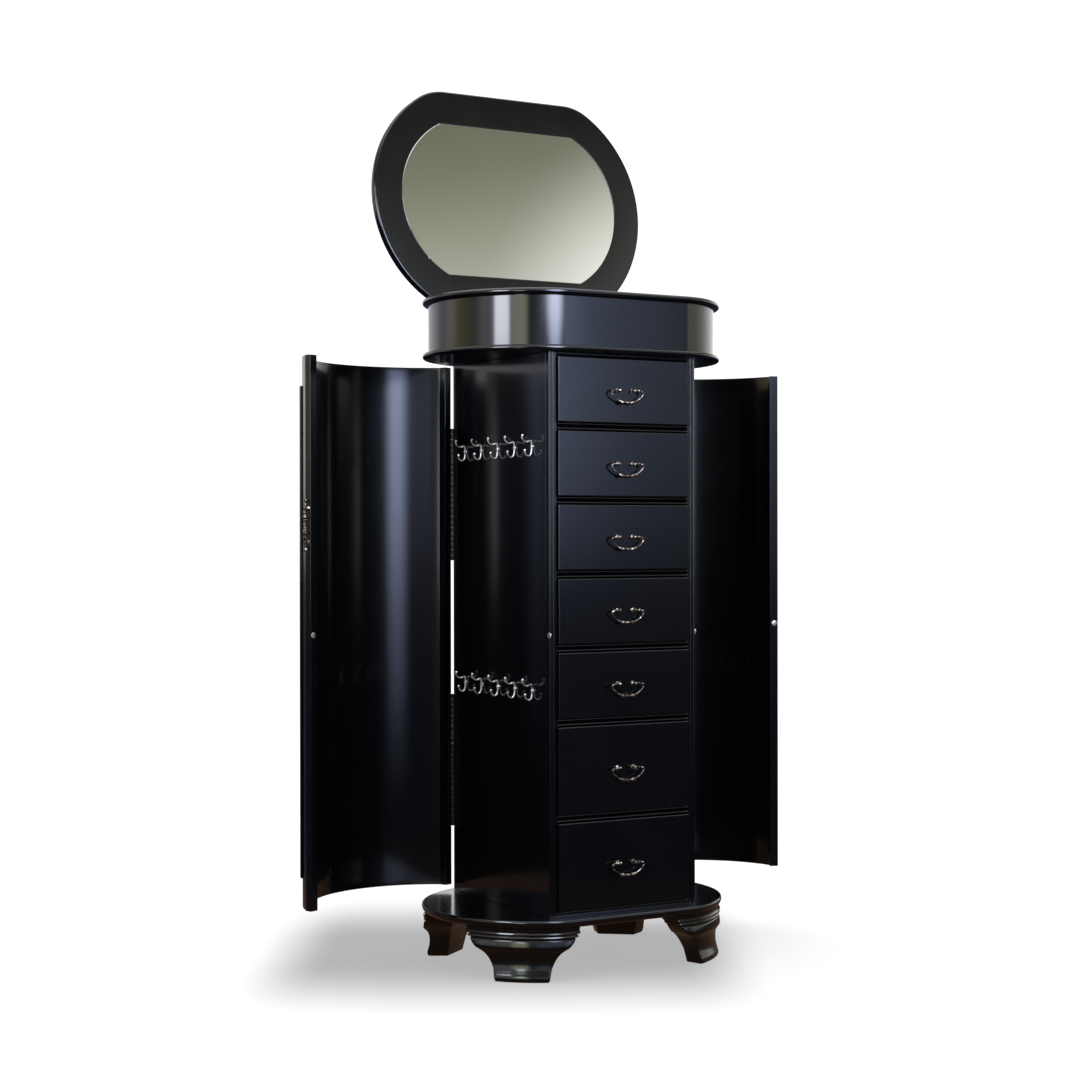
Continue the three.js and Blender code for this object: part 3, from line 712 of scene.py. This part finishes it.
def add_ring_rolls():
    """Foam rolls side by side that grip rings, each a crowned bolster with soft ends."""
    low, high = box_mm("ring_cushion")
    pitch = (high.y - low.y) / ROLL_COUNT
    base = block(low.x, high.x, low.y, high.y, low.z + 1, low.z + 12)
    rolls = [base]
    for number in range(ROLL_COUNT):
        y = low.y + pitch * (number + 0.5)
        rings = []
        for i in range(25):
            t = 2 * i / 24 - 1
            x = (low.x + high.x) / 2 + t * (high.x - low.x) / 2
            full = max((1 - abs(t) ** 9) ** 0.5, 0.02)
            dent = 1 - 0.02 * noise.noise(Vector((x / 14, number * 3.1, 0)))
            half_y = (pitch / 2 - 0.15) * full
            half_z = 13.5 * full * dent
            angles = [2 * math.pi * k / 20 for k in range(20)]
            rings.append([
                (x, y + half_y * math.cos(a), high.z - 14 + half_z * math.sin(a)) for a in angles
            ])
        rolls.append(loft(rings))
    piece = add_piece("ring_rolls", merged(*rolls), "felt", "cabinet", ["ring_cushion"], sharp=70)


# ---- hinges ----
def knuckles(length, odd):
    """Every other knuckle of a piano hinge barrel that stands along Z from the origin."""
    count = int(length / KNUCKLE_PITCH)
    pitch = length / count
    shapes = []
    for i in range(odd, count, 2):
        z0, z1 = i * pitch + 0.2, (i + 1) * pitch - 0.2
        profile = [(PIN + 0.1, z0), (KNUCKLE - 0.3, z0), (KNUCKLE, z0 + 0.3)]
        profile += [(KNUCKLE, z1 - 0.3), (KNUCKLE - 0.3, z1), (PIN + 0.1, z1)]
        shapes.append((lathe(profile, (0, 0, 0), (0, 0, 1), 16), z0, z1))
    return shapes


def hinge_leaf(x0, x1, length, width, odd):
    """Leaf along Z with its plate between x0 and x1, towards -Y from the barrel at the origin."""
    shapes = [block(x0, x1, -width - PLATE_START, -PLATE_START - 0.1, 0, length)]
    for shape, z0, z1 in knuckles(length, odd):
        shapes += [shape, block(x0, x1, -3, -1.4, z0, z1)]
    if not odd:
        shapes.append(lathe([(PIN, 0.3), (PIN, length - 0.3)], (0, 0, 0), (0, 0, 1), 12))
    return merged(*shapes)


def leaf_screws(x, facing, length, width):
    """Round screw heads along the middle of a leaf, with a slot across each."""
    count = int(length / SCREW_PITCH)
    y = -width / 2 - PLATE_START
    shapes = []
    for i in range(count):
        z = length * (i + 0.5) / count
        head = lathe([(0.1, 0), *dome(2.3, 0.3)], (x, y, z), (facing, 0, 0), 16)
        slot = block(x + facing * 0.12, x + facing * 2, y - 3, y + 3, z - 0.3, z + 0.3)
        shapes.append(carved(head, slot))
    return merged(*shapes)


def add_door_hinges(side_name, side):
    door = f"door_{side_name}"
    pivot = joint_mm(f"{door}_hinge")
    offset = pivot.x - side * CABINET_X
    for level in ("lower", "upper"):
        node = f"door_hinge_{side_name}_{level}"
        low, high = box_mm(f"{node}_fixed")
        length = high.z - low.z
        place = (pivot.x, pivot.y, low.z)
        for name, end, face, into, width, odd, body in (
            ("cabinet_leaf", "fixed", -offset - side * 0.1, -side, LEAF_WIDTH, 0, "cabinet"),
            ("door_leaf", "moving", side * 0.35, side, LEAF_WIDTH - 1, 1, door),
        ):
            near, far = sorted((face, face + into * LEAF))
            leaf = merged(hinge_leaf(near, far, length, width, odd), leaf_screws(face, -into, length, width))
            leaf = shifted(leaf, *place)
            if odd:
                leaf = opened(leaf, f"{door}_hinge")
            add_piece(f"{node}_{name}", leaf, "hinge_steel", body, [f"{node}_{end}"])


def add_lid_hinge():
    pivot = joint_mm("lid_hinge")
    length = 2 * LID_HINGE_HALF
    leaves = (("fixed", 0.1, 0.1 + LEAF, 0, "cabinet"), ("moving", -0.3 - LEAF, -0.3, 1, "lid"))
    for name, x0, x1, odd, body in leaves:
        leaf = hinge_leaf(x0, x1, length, 18, odd)
        laid = turned(leaf, (0, 0, 0), (0, 1, 0), 90)
        shape = shifted(laid, -LID_HINGE_HALF, pivot.y, pivot.z)
        if body == "lid":
            shape = opened(shape, "lid_hinge")
        add_piece(f"lid_hinge_{name}_leaf", shape, "hinge_steel", body, [f"lid_hinge_{name}"])


# ---- doors ----
DOOR_APEX_X = 224
DOOR_THICKNESS = 10.4
POST_WIDTH = 10.1
POST_DEPTH = 13.5
POST_ROUNDING = 0.96
DOOR_LINE_X = CABINET_X + 0.4
DOOR_PANEL_THICKNESS = 3.2
DOOR_PANEL_SWEEP = 50
STRIKE_Y = FRONT_Y + 0.42 * POST_DEPTH
STRIKE_Z = 500
PULL_STANDOFF = 6.5
PULL_POST = [
    (0.1, 0), (4.2, 0), (4.2, 0.8), (2.6, 1.6), (1.7, 2.4), (1.7, 4.6), (2.4, 6), (1.4, 7.6), (0.1, 8),
]


def door_arc():
    """Centre, radius and half-chord of the outer face of a shut right-hand door, in plan."""
    edge_x = DOOR_LINE_X + POST_WIDTH
    half_chord = -FRONT_Y
    centre_x = (DOOR_APEX_X ** 2 - edge_x ** 2 - half_chord ** 2) / (2 * (DOOR_APEX_X - edge_x))
    return centre_x, DOOR_APEX_X - centre_x, edge_x, half_chord


def arc_points(centre_x, radius, start, end, steps):
    angles = [start + (end - start) * i / steps for i in range(steps + 1)]
    return [(centre_x + radius * math.cos(a), radius * math.sin(a)) for a in angles]


def door_shell():
    centre_x, radius, edge_x, half_chord = door_arc()
    outer_end = math.atan2(half_chord, edge_x - centre_x)
    inner_radius = radius - DOOR_THICKNESS
    post_inner = half_chord - POST_DEPTH
    inner_end = math.asin(post_inner / inner_radius)
    outline = [
        (DOOR_LINE_X, -half_chord),
        *arc_points(centre_x, radius, -outer_end, outer_end, 72),
        (DOOR_LINE_X, half_chord),
        (DOOR_LINE_X, post_inner),
        *arc_points(centre_x, inner_radius, inner_end, -inner_end, 72),
        (DOOR_LINE_X, -post_inner),
    ]
    low, high = box_mm("door_right_shell")
    return prism(outline, low.z, high.z)


def door_pull():
    """Cast vertical pull of a shut door, drawn right-handed: a beaded grip between two posts."""
    low, high = box_mm("door_left_pull")
    middle = (low.z + high.z) / 2
    half = (high.z - low.z) / 2 - 2
    grip_y = FRONT_Y - PULL_STANDOFF
    x = DOOR_LINE_X + POST_WIDTH / 2
    line = smooth_line([
        (x, grip_y + bow, half * share) for bow, share in (
            (2.4, 1), (0.4, 0.7), (0, 0.3), (-0.4, 0), (0, -0.3), (0.4, -0.7), (2.4, -1),
        )
    ], 16)
    length = path_length(line)
    beads = ((18, 2.2, 1.7), (11.5, 2.6, 2.4), (7.4, 1.5, 1.3), (4.6, 1.5, 1.3), (1.6, 1.5, 1.3))
    swells = [(1.6, 2.4, 1.1), (length - 1.6, 2.4, 1.1)]
    swells += [(length / 2 + side * out, width, height) for side in (-1, 1) for out, width, height in beads]
    grip = tube(line, bumped(line, 1.5, swells), 14)
    posts = []
    for z in (half * 0.66, -half * 0.66):
        posts.append(lathe(PULL_POST, (x, FRONT_Y, z), (0, -1, 0), 18))
    return shifted(merged(grip, *posts), 0, 0, middle)


def door_strike():
    """Round strike plate that meets the magnet, on the end face of the front post."""
    profile = [(0.1, 0), (4.4, 0), (4.4, 0.4), (4.2, 0.5), (0.1, 0.5)]
    return lathe(profile, (DOOR_LINE_X + 0.4, STRIKE_Y, STRIKE_Z), (-1, 0, 0), 24)


def add_doors():
    back = joint_mm("door_right_hinge").y
    front = back - LEAF_WIDTH - 2.2
    mortises = [
        block(DOOR_LINE_X - 1, DOOR_LINE_X + LEAF + 0.4, front, back, z0 - 0.3, z1 + 0.3)
        for z0, z1 in hinge_levels()
    ]
    shell = carved(door_shell(), *mortises)
    centre_x, radius, _, _ = door_arc()
    sweep = math.radians(DOOR_PANEL_SWEEP)
    face = radius + DOOR_PANEL_THICKNESS + 0.36
    outline = arc_points(centre_x, face, -sweep, sweep, 60)
    outline += arc_points(centre_x, radius - 0.3, sweep, -sweep, 60)
    low, high = box_mm("door_right_raised_panel")
    panel = prism(outline, low.z, high.z)
    for side_name, side in SIDES.items():
        door = f"door_{side_name}"

        def placed(shape):
            return opened(mirrored(shape, side), f"{door}_hinge")

        for name, shape, node, rounding in (
            ("curved_shell", shell, "shell", POST_ROUNDING), ("outer_panel", panel, "raised_panel", 1.6),
        ):
            piece = add_piece(f"{door}_{name}", placed(shape), "lacquer", door, [f"{door}_{node}"], sharp=0)
            round_edges(piece, rounding, 3, 30)
        if side_name == "left":
            pull = placed(door_pull())
            add_piece(f"{door}_cast_pull", pull, "aged_brass", door, [f"{door}_pull"], sharp=60)
        add_piece(f"{door}_strike", placed(door_strike()), "aged_brass", door, finish="rubbed_brass")
        add_door_hinges(side_name, side)


def add_magnets():
    """Round magnets in the side panels that hold the shut doors."""
    profile = [(0.1, -2), (4.2, -2), (4.2, -0.05), (3.8, 0.1), (1.4, 0.1), (1.2, -0.2), (0.1, -0.2)]
    for side_name, side in SIDES.items():
        magnet = lathe(profile, (side * CABINET_X, STRIKE_Y, STRIKE_Z), (side, 0, 0), 24)
        add_piece(f"door_magnet_{side_name}", magnet, "aged_brass", "cabinet", finish="rubbed_brass")


# ---- drawers ----
POST_X = 13
STANDOFF = 8
# half of a bail from its pivot to the middle of its grip: across, and up from the pivot
BAIL_LINE = [
    (15.4, 0), (20, 0.2), (24.6, -0.9), (26.8, -4.2), (24.2, -8.8), (17.4, -13.8), (9.8, -17.2), (0, -18),
]
DRAWER_FLOOR = 4
DRAWER_WALL = 8


def bail_shape():
    """Cast bail in the plane y = 0, hanging from pivots at z = 0."""
    half = smooth_line([(x, 0, z) for x, z in BAIL_LINE], 9)
    line = [(-x, y, z) for x, y, z in half] + half[-2::-1]
    length = path_length(line)
    middle = length / 2
    beads = [(middle - 1, 2, 0.9), (middle - 4.4, 1.6, 0.7), (middle - 10.5, 2.6, 1.0)]
    beads += [(13.4, 1.4, 0.8), (8.6, 3.4, 1.9), (3.4, 1.5, 1.0)]
    swells = [(middle + side * out, width, height) for side in (-1, 1) for out, width, height in beads]
    swells.append((middle, 1.7, 1.2))
    return tube(line, bumped(line, 1.25, swells), 12)


def pull_posts():
    """Two turned posts that stand on the drawer front at y = 0 and hold the bail's ends."""
    profile = [(0.1, 0), (3.6, 0), (3.7, 0.7), (2.6, 1.4), (1.6, 2.4), (1.5, 5), (2.3, 6.4),
               (2.75, STANDOFF), (2.3, 9.6), (1.2, 10.4), (0.1, 10.6)]
    return merged(*[lathe(profile, (x, 0, 0), (0, -1, 0), 18) for x in (-POST_X, POST_X)])


def add_drawer(number, bottom, top):
    body = f"drawer_{number}"
    low, high = box_mm(f"{body}_front")
    back = FRONT_Y + FRAME_DEPTH - 1
    front = block(low.x, high.x, FRONT_Y, back, low.z, high.z - 0.7)
    piece = add_piece(f"{body}_face", front, "lacquer", body, [f"{body}_front"], sharp=0)
    round_edges(piece, 1.5, 4)
    middle = (bottom + top) / 2
    add_piece(f"{body}_posts", shifted(pull_posts(), 0, FRONT_Y, middle), "aged_brass", body, sharp=50)
    bail = shifted(bail_shape(), 0, FRONT_Y - STANDOFF, middle)
    add_piece(f"{body}_cast_bail", bail, "aged_brass", f"bail_{number}", [f"{body}_bail"], sharp=60)

    low, high = box_mm(f"{body}_box")
    wall = DRAWER_WALL
    shell = block(low.x, high.x, low.y - 0.3, high.y, low.z, high.z)
    hollow = block(low.x + wall, high.x - wall, low.y + wall, high.y - wall, low.z + DRAWER_FLOOR, high.z + 1)
    piece = add_piece(f"{body}_tray", carved(shell, hollow), "bare_wood", body, [f"{body}_box"], sharp=0)
    round_edges(piece, 1.2, 2)
    add_drawer_lining(number, low, high, wall)


def add_drawer_lining(number, low, high, wall):
    """Felt glued into a drawer, from its floor to just under the top of its walls."""
    x0, x1, y0, y1 = low.x + wall, high.x - wall, low.y + wall, high.y - wall
    rim, floor = high.z - 3, low.z + DRAWER_FLOOR

    def ring(inset, z):
        radius = max(6 - inset, 0.5)
        points = []
        corners = ((x1, y1, 0), (x0, y1, 90), (x0, y0, 180), (x1, y0, 270))
        for cx, cy, start in corners:
            ox = cx - math.copysign(inset + radius, cx)
            oy = cy - (inset + radius if start < 180 else -(inset + radius))
            for i in range(7):
                angle = math.radians(start + 15 * i)
                points.append((ox + radius * math.cos(angle), oy + radius * math.sin(angle), z))
        return points

    profile = [(5, floor + 1.4), (2.4, floor + 1.8), (1.5, floor + 3.4), (1.3, rim - 0.6)]
    profile += [(0.8, rim), (0.05, rim), (0.05, floor + 0.1)]
    lining = loft([ring(inset, z) for inset, z in profile])
    add_piece(f"drawer_{number}_lining", lining, "felt", f"drawer_{number}", sharp=60)


# ---- lid ----
def add_lid():
    low = rim_high.z + LID_GAP
    high = low + LID_THICKNESS
    glass_depth = 3.5
    edge = [
        (MIRROR_OVAL, -0.3, low + glass_depth), (MIRROR_OVAL, -0.3, low + 0.5), (MIRROR_OVAL, -0.9, low),
    ]
    rounding = [(3.4, 0), (1.8, 0.5), (0.6, 1.8), (0.05, 4)]
    edge += [(LID_OVAL, inset, low + rise) for inset, rise in rounding]
    edge.append((LID_OVAL, 0, low + 7.2))
    edge += [(LID_OVAL, inset, high - drop) for inset, drop in rounding[::-1]]
    board = oval_solid(edge, LID_CENTRE_Y)
    half = LID_HINGE_HALF + 0.3
    mortise = block(-half, half, LID_MORTISE_Y, joint_mm("lid_hinge").y, low - 1, low + LEAF + 0.2)
    shape = opened(carved(board, mortise), "lid_hinge")
    flatten(add_piece("lid_frame", shape, "lacquer", "lid", ["lid_board"], sharp=50))

    glass = [(MIRROR_OVAL, inset, low + rise) for inset, rise in ((0.7, 0.5), (0, 0.9), (0, 3.2))]
    shape = opened(oval_solid(glass, LID_CENTRE_Y), "lid_hinge")
    add_piece("mirror", shape, "mirror", "lid", ["mirror_glass"], sharp=2)


# ---- floor, light and camera ----
class World(Nodes):
    """Node tree of the surround or of a light, with no surface shader in it."""

    def __init__(self, tree):
        self.tree = tree
        tree.nodes.clear()

    def ramp(self, value, stops):
        """Colours at given places from 0 to 1, blended between them."""
        node = self.add("ValToRGB", {"Fac": value})
        elements = node.color_ramp.elements
        elements.remove(elements[1])
        for index, (place, colour) in enumerate(stops):
            element = elements[0] if index == 0 else elements.new(place)
            element.position = place
            element.color = (*colour, 1)
        return node.outputs["Color"]


# what the lacquer sees round the room: compass bearing from +Y towards +X, and a colour
ROOM_SCALE = 4
ROOM_WALLS = [
    (-180, (0.4, 0.5, 0.7)), (-150, (0.7, 0.75, 1.05)), (-142, (0.12, 0.16, 0.22)),
    (-138.5, (0.2, 0.22, 0.2)), (-136, (3.1, 3.3, 2.2)), (-124, (2.9, 3.1, 2.3)), (-120, (1, 1, 1)),
    (-98, (1.1, 1.12, 1.15)),
    (-90, (1.3, 1.3, 1.3)), (-82, (0.5, 0.53, 0.42)), (-62, (0.8, 0.65, 0.35)), (-48, (1.25, 1.2, 1.0)),
    (-33, (0.5, 0.5, 0.55)), (-14, (0.82, 0.8, 0.88)), (5, (0.7, 0.7, 0.75)), (45, (1.3, 1.3, 1.3)),
    (70, (1.35, 1.35, 1.35)), (90, (0.8, 0.82, 0.68)), (112, (0.9, 0.92, 0.78)), (132, (1.2, 1.25, 1.2)),
    (141, (0.3, 0.33, 0.36)), (146, (0.38, 0.42, 0.5)), (149.6, (0.45, 0.6, 1.0)), (151, (2.3, 2.7, 4.0)),
    (156, (1.2, 1.4, 2.0)), (164, (0.6, 0.7, 1.0)), (180, (0.4, 0.5, 0.7)),
]
# the same for what is above head height, by elevation
ROOM_CEILING = [
    (12, (0.55, 0.56, 0.48)), (18, (0.6, 0.61, 0.53)), (20, (0.47, 0.48, 0.41)), (21, (0.38, 0.39, 0.31)),
    (22, (0.29, 0.3, 0.23)), (23, (0.22, 0.23, 0.17)), (24.5, (0.17, 0.18, 0.125)), (28, (0.2, 0.21, 0.16)),
    (38, (0.7, 0.71, 0.7)), (52, (1.6, 1.62, 1.7)), (90, (2.2, 2.25, 2.4)),
]
WALL_GLOW = {"bearing": 144.5, "elevation": 17.5, "reach": 7.0, "colour": (0.7, 0.71, 0.7)}


def add_world():
    """Even white surround, and the furnished room that gloss and the mirror reflect."""
    world = bpy.data.worlds.new("studio")
    world.use_nodes = True
    bpy.context.scene.world = world
    nodes = World(world.node_tree)
    direction = nodes.add("TexCoord").outputs["Generated"]
    parts = nodes.add("SeparateXYZ", {"Vector": direction}).outputs
    bearing = nodes.math("ARCTAN2", parts[0], parts[1])
    elevation = nodes.math("ARCSINE", parts[2])
    turn = nodes.between(bearing, 0, 1, -math.pi, math.pi)
    stops = [((b + 180) / 360, [c / ROOM_SCALE for c in colour]) for b, colour in ROOM_WALLS]
    walls = nodes.ramp(turn, stops)
    rise = nodes.step(elevation, math.radians(-3.5), math.radians(4.2))
    strength = nodes.math("MULTIPLY", rise, ROOM_SCALE)
    low = nodes.add("Background", {"Color": walls, "Strength": strength})
    quarter = nodes.between(elevation, 0, 1, 0, math.pi / 2)
    ceiling = nodes.ramp(quarter, [(e / 90, colour) for e, colour in ROOM_CEILING])
    high = nodes.add("Background", {"Color": ceiling})
    above = nodes.step(elevation, math.radians(11), math.radians(19))
    room = nodes.add("MixShader", {0: above, 1: low.outputs[0], 2: high.outputs[0]})

    squares = [
        nodes.math("POWER", nodes.math("SUBTRACT", angle, math.radians(WALL_GLOW[name])), 2)
        for angle, name in ((bearing, "bearing"), (elevation, "elevation"))
    ]
    apart = nodes.math("SQRT", nodes.math("ADD", *squares))
    strength = nodes.step(apart, math.radians(WALL_GLOW["reach"]), math.radians(1.5))
    glow = nodes.add("Background", {"Color": (*WALL_GLOW["colour"], 1), "Strength": strength})
    room = nodes.add("AddShader", {0: room.outputs[0], 1: glow.outputs[0]})

    white = nodes.add("Background", {"Color": (1, 1, 1, 1), "Strength": 1.15})
    glossy = nodes.add("LightPath").outputs["Is Glossy Ray"]
    surround = nodes.add("MixShader", {0: glossy, 1: white.outputs[0], 2: room.outputs[0]})
    nodes.add("OutputWorld", {"Surface": surround.outputs[0]})


# soft windows that only gloss reflects: bearing and distance of the middle, width and soft margin
# at the sides in metres, share of the width that is left below the waist, brightness above and
# below the waist, and the share of it at several heights
WINDOWS = {
    "window_left": {
        "bearing": -112, "distance": 2.6, "width": 0.8, "margin": 0.12, "foot": 1,
        "colour": (11.4, 12, 13.6), "low_colour": (11.4, 12, 13.6),
        "levels": [(1.0, 0), (1.15, 1), (2.3, 1)],
    },
    "window_low": {
        "bearing": -130, "distance": 2.6, "width": 0.5, "margin": 0.15, "foot": 1,
        "colour": (6, 6.7, 7.4), "low_colour": (6, 6.7, 7.4),
        "levels": [(0.45, 0), (0.65, 1), (0.9, 1), (1.05, 0)],
    },
    "window_front": {
        "bearing": 187.4, "distance": 1.12, "width": 1.1, "margin": 0.48, "foot": 0.6,
        "colour": (10.6, 11.4, 14.6), "low_colour": (10, 11.6, 17.2),
        "levels": [(0.1, 0), (0.24, 0.02), (0.48, 0.1), (0.74, 0.27), (1.0, 0.4), (1.08, 1), (1.7, 1)],
    },
}
TALLEST_WINDOW = 2.5
WAIST = (1.0, 1.08)


def add_windows():
    for name, window in WINDOWS.items():
        width = window["width"]
        z0, z1 = window["levels"][0][0], window["levels"][-1][0]
        data = bpy.data.lights.new(name, "AREA")
        data.shape = "RECTANGLE"
        data.size, data.size_y = width, z1 - z0
        data.energy = 4 * width * (z1 - z0)
        facing = math.radians(window["bearing"])
        out = Vector((math.sin(facing), math.cos(facing), 0))
        place = MIDDLE + out * window["distance"] + Vector((0, 0, (z0 + z1) / 2))
        light = linked(name, data)
        light.location = place
        light.rotation_euler = out.to_track_quat("Z", "Y").to_euler()
        light.visible_camera = False
        light.visible_diffuse = False

        data.use_nodes = True
        nodes = World(data.node_tree)
        position = nodes.add("NewGeometry").outputs["Position"]
        height = nodes.add("SeparateXYZ", {"Vector": position}).outputs["Z"]
        from_middle = nodes.add("VectorMath", {0: position, 1: place}, operation="SUBTRACT")
        across = {0: from_middle.outputs[0], 1: (out.y, -out.x, 0)}
        sideways = nodes.add("VectorMath", across, operation="DOT_PRODUCT").outputs["Value"]
        spread = nodes.between(height, window["foot"], 1, *WAIST)
        from_centre = nodes.math("DIVIDE", nodes.math("ABSOLUTE", sideways), spread)
        sides = nodes.step(from_centre, width / 2, width / 2 - window["margin"])
        levels = [(z / TALLEST_WINDOW, (share, share, share)) for z, share in window["levels"]]
        share = nodes.ramp(nodes.between(height, 0, 1, 0, TALLEST_WINDOW), levels)
        strength = nodes.math("MULTIPLY", sides, share)
        upper = nodes.between(height, 0, 1, *WAIST)
        tint = nodes.blend(upper, window["low_colour"], window["colour"])
        glass = nodes.add("Emission", {"Color": tint, "Strength": strength})
        nodes.add("OutputLight", {"Surface": glass.outputs[0]})


# painted shadow: a soft grey pool painted into the floor's colour round the feet. Its middle, half of its
# reach across and along the line of sight, where it starts and stops fading in each direction, and the sight
# line's bearing
SHADOW_POOL_MIDDLE = (-65, 91)
SHADOW_POOL_ACROSS = (265, 405)
SHADOW_POOL_ALONG = (87, 508)
SHADOW_POOL_TURN = 30.6
# the floor's own glow everywhere, though it is no lamp, which sets how grey the middle of the painted shadow
# is
PAINTED_SHADOW_FLOOR_GLOW = 0.44
# dim brown glow, no lamp, that only glossy rays see on the floor near the feet and further off, standing in
# for lit floor boards
GLOSS_GLOW_NEAR = (0.12, 0.068, 0.04)
GLOSS_GLOW_FAR = (0.02, 0.025, 0.045)


def add_floor():
    """White floor with a painted grey shadow pool under the armoire. Glossy rays see the floor as a dim brown
    glow in place of boards.
    """
    mesh = bpy.data.meshes.new("floor")
    reach = 40
    corners = [(-reach, -reach, 0), (reach, -reach, 0), (reach, reach, 0), (-reach, reach, 0)]
    mesh.from_pydata(corners, [], [(0, 1, 2, 3)])
    floor = linked("floor", mesh)
    nodes = Nodes("pale_floor")
    middle = MIDDLE + Vector((*SHADOW_POOL_MIDDLE, 0)) * MM
    offset = nodes.add("VectorMath", {0: nodes.place, 1: middle}, operation="SUBTRACT").outputs[0]
    level = nodes.add(
        "VectorRotate", {"Vector": offset, "Angle": math.radians(SHADOW_POOL_TURN)}, rotation_type="Z_AXIS",
    ).outputs[0]
    parts = nodes.add("SeparateXYZ", {"Vector": level}).outputs
    across = nodes.step(nodes.math("ABSOLUTE", parts[0]), SHADOW_POOL_ACROSS[1] * MM, SHADOW_POOL_ACROSS[0] * MM)
    along = nodes.step(nodes.math("ABSOLUTE", parts[1]), SHADOW_POOL_ALONG[1] * MM, SHADOW_POOL_ALONG[0] * MM)
    # painted shadow: the floor's colour darkens inside this pool
    painted_shadow = nodes.math("MULTIPLY", across, along)
    nodes.set(Base_Color=nodes.between(painted_shadow, 0.63, 0.04, 0, 1), Roughness=0.9, Specular_IOR_Level=0.0)
    # the floor glows everywhere, and in the painted shadow this glow sets its grey
    nodes.set(Emission_Color=(1, 1, 1, 1), Emission_Strength=PAINTED_SHADOW_FLOOR_GLOW)

    apart = nodes.add("VectorMath", {0: offset}, operation="LENGTH").outputs["Value"]
    # glossy rays see a dim brown glow here, no lamp, standing in for a lit floor in the reflections
    gloss_glow_colour = nodes.blend(nodes.step(apart, 0.3, 1.3), GLOSS_GLOW_NEAR, GLOSS_GLOW_FAR)
    gloss_glow = nodes.add("Emission", {"Color": gloss_glow_colour, "Strength": 1.0})
    glossy = nodes.add("LightPath").outputs["Is Glossy Ray"]
    seen = nodes.add("MixShader", {0: glossy, 1: nodes.shader.outputs[0], 2: gloss_glow.outputs[0]})
    output = next(n for n in nodes.tree.nodes if n.type == "OUTPUT_MATERIAL")
    nodes.give(output.inputs["Surface"], seen.outputs[0])
    mesh.materials.append(nodes.material)


CAMERA = {"x": -1617.3, "y": -2793.7, "z": 639.5, "yaw": 30.58, "pitch": -0.22, "roll": -0.08}


def add_camera():
    data = bpy.data.cameras.new("camera")
    data.lens = 70.08
    data.sensor_width = 36
    data.shift_x = -0.0475
    data.shift_y = 0.0065
    camera = linked("camera", data)
    turn = (
        Matrix.Rotation(math.radians(-CAMERA["yaw"]), 4, "Z")
        @ Matrix.Rotation(math.radians(90 + CAMERA["pitch"]), 4, "X")
        @ Matrix.Rotation(math.radians(CAMERA["roll"]), 4, "Z")
    )
    place = Vector((CAMERA["x"], CAMERA["y"], CAMERA["z"])) * MM + MIDDLE
    camera.matrix_world = Matrix.Translation(place) @ turn
    bpy.context.scene.camera = camera


def dress_kept_nodes():
    """The CAD parts that stay as they are get their finish."""
    for side_name in SIDES:
        node = frame["nodes"][f"drawer_runners_{side_name}"]
        node.data.materials.clear()
        node.data.materials.append(MATERIALS["bare_wood"])


add_camera()
add_base()
add_feet()
add_face_frame()
add_side_panels()
add_back_panel()
add_hooks()
add_top_box()
add_tray()
add_ring_rolls()
add_doors()
add_magnets()
add_lid_hinge()
for drawer_number, (opening_low, opening_high) in enumerate(drawer_openings(), 1):
    add_drawer(drawer_number, opening_low, opening_high)
add_lid()
dress_kept_nodes()
add_floor()
add_world()
add_windows()
bpy.context.scene.view_settings.view_transform = "Standard"
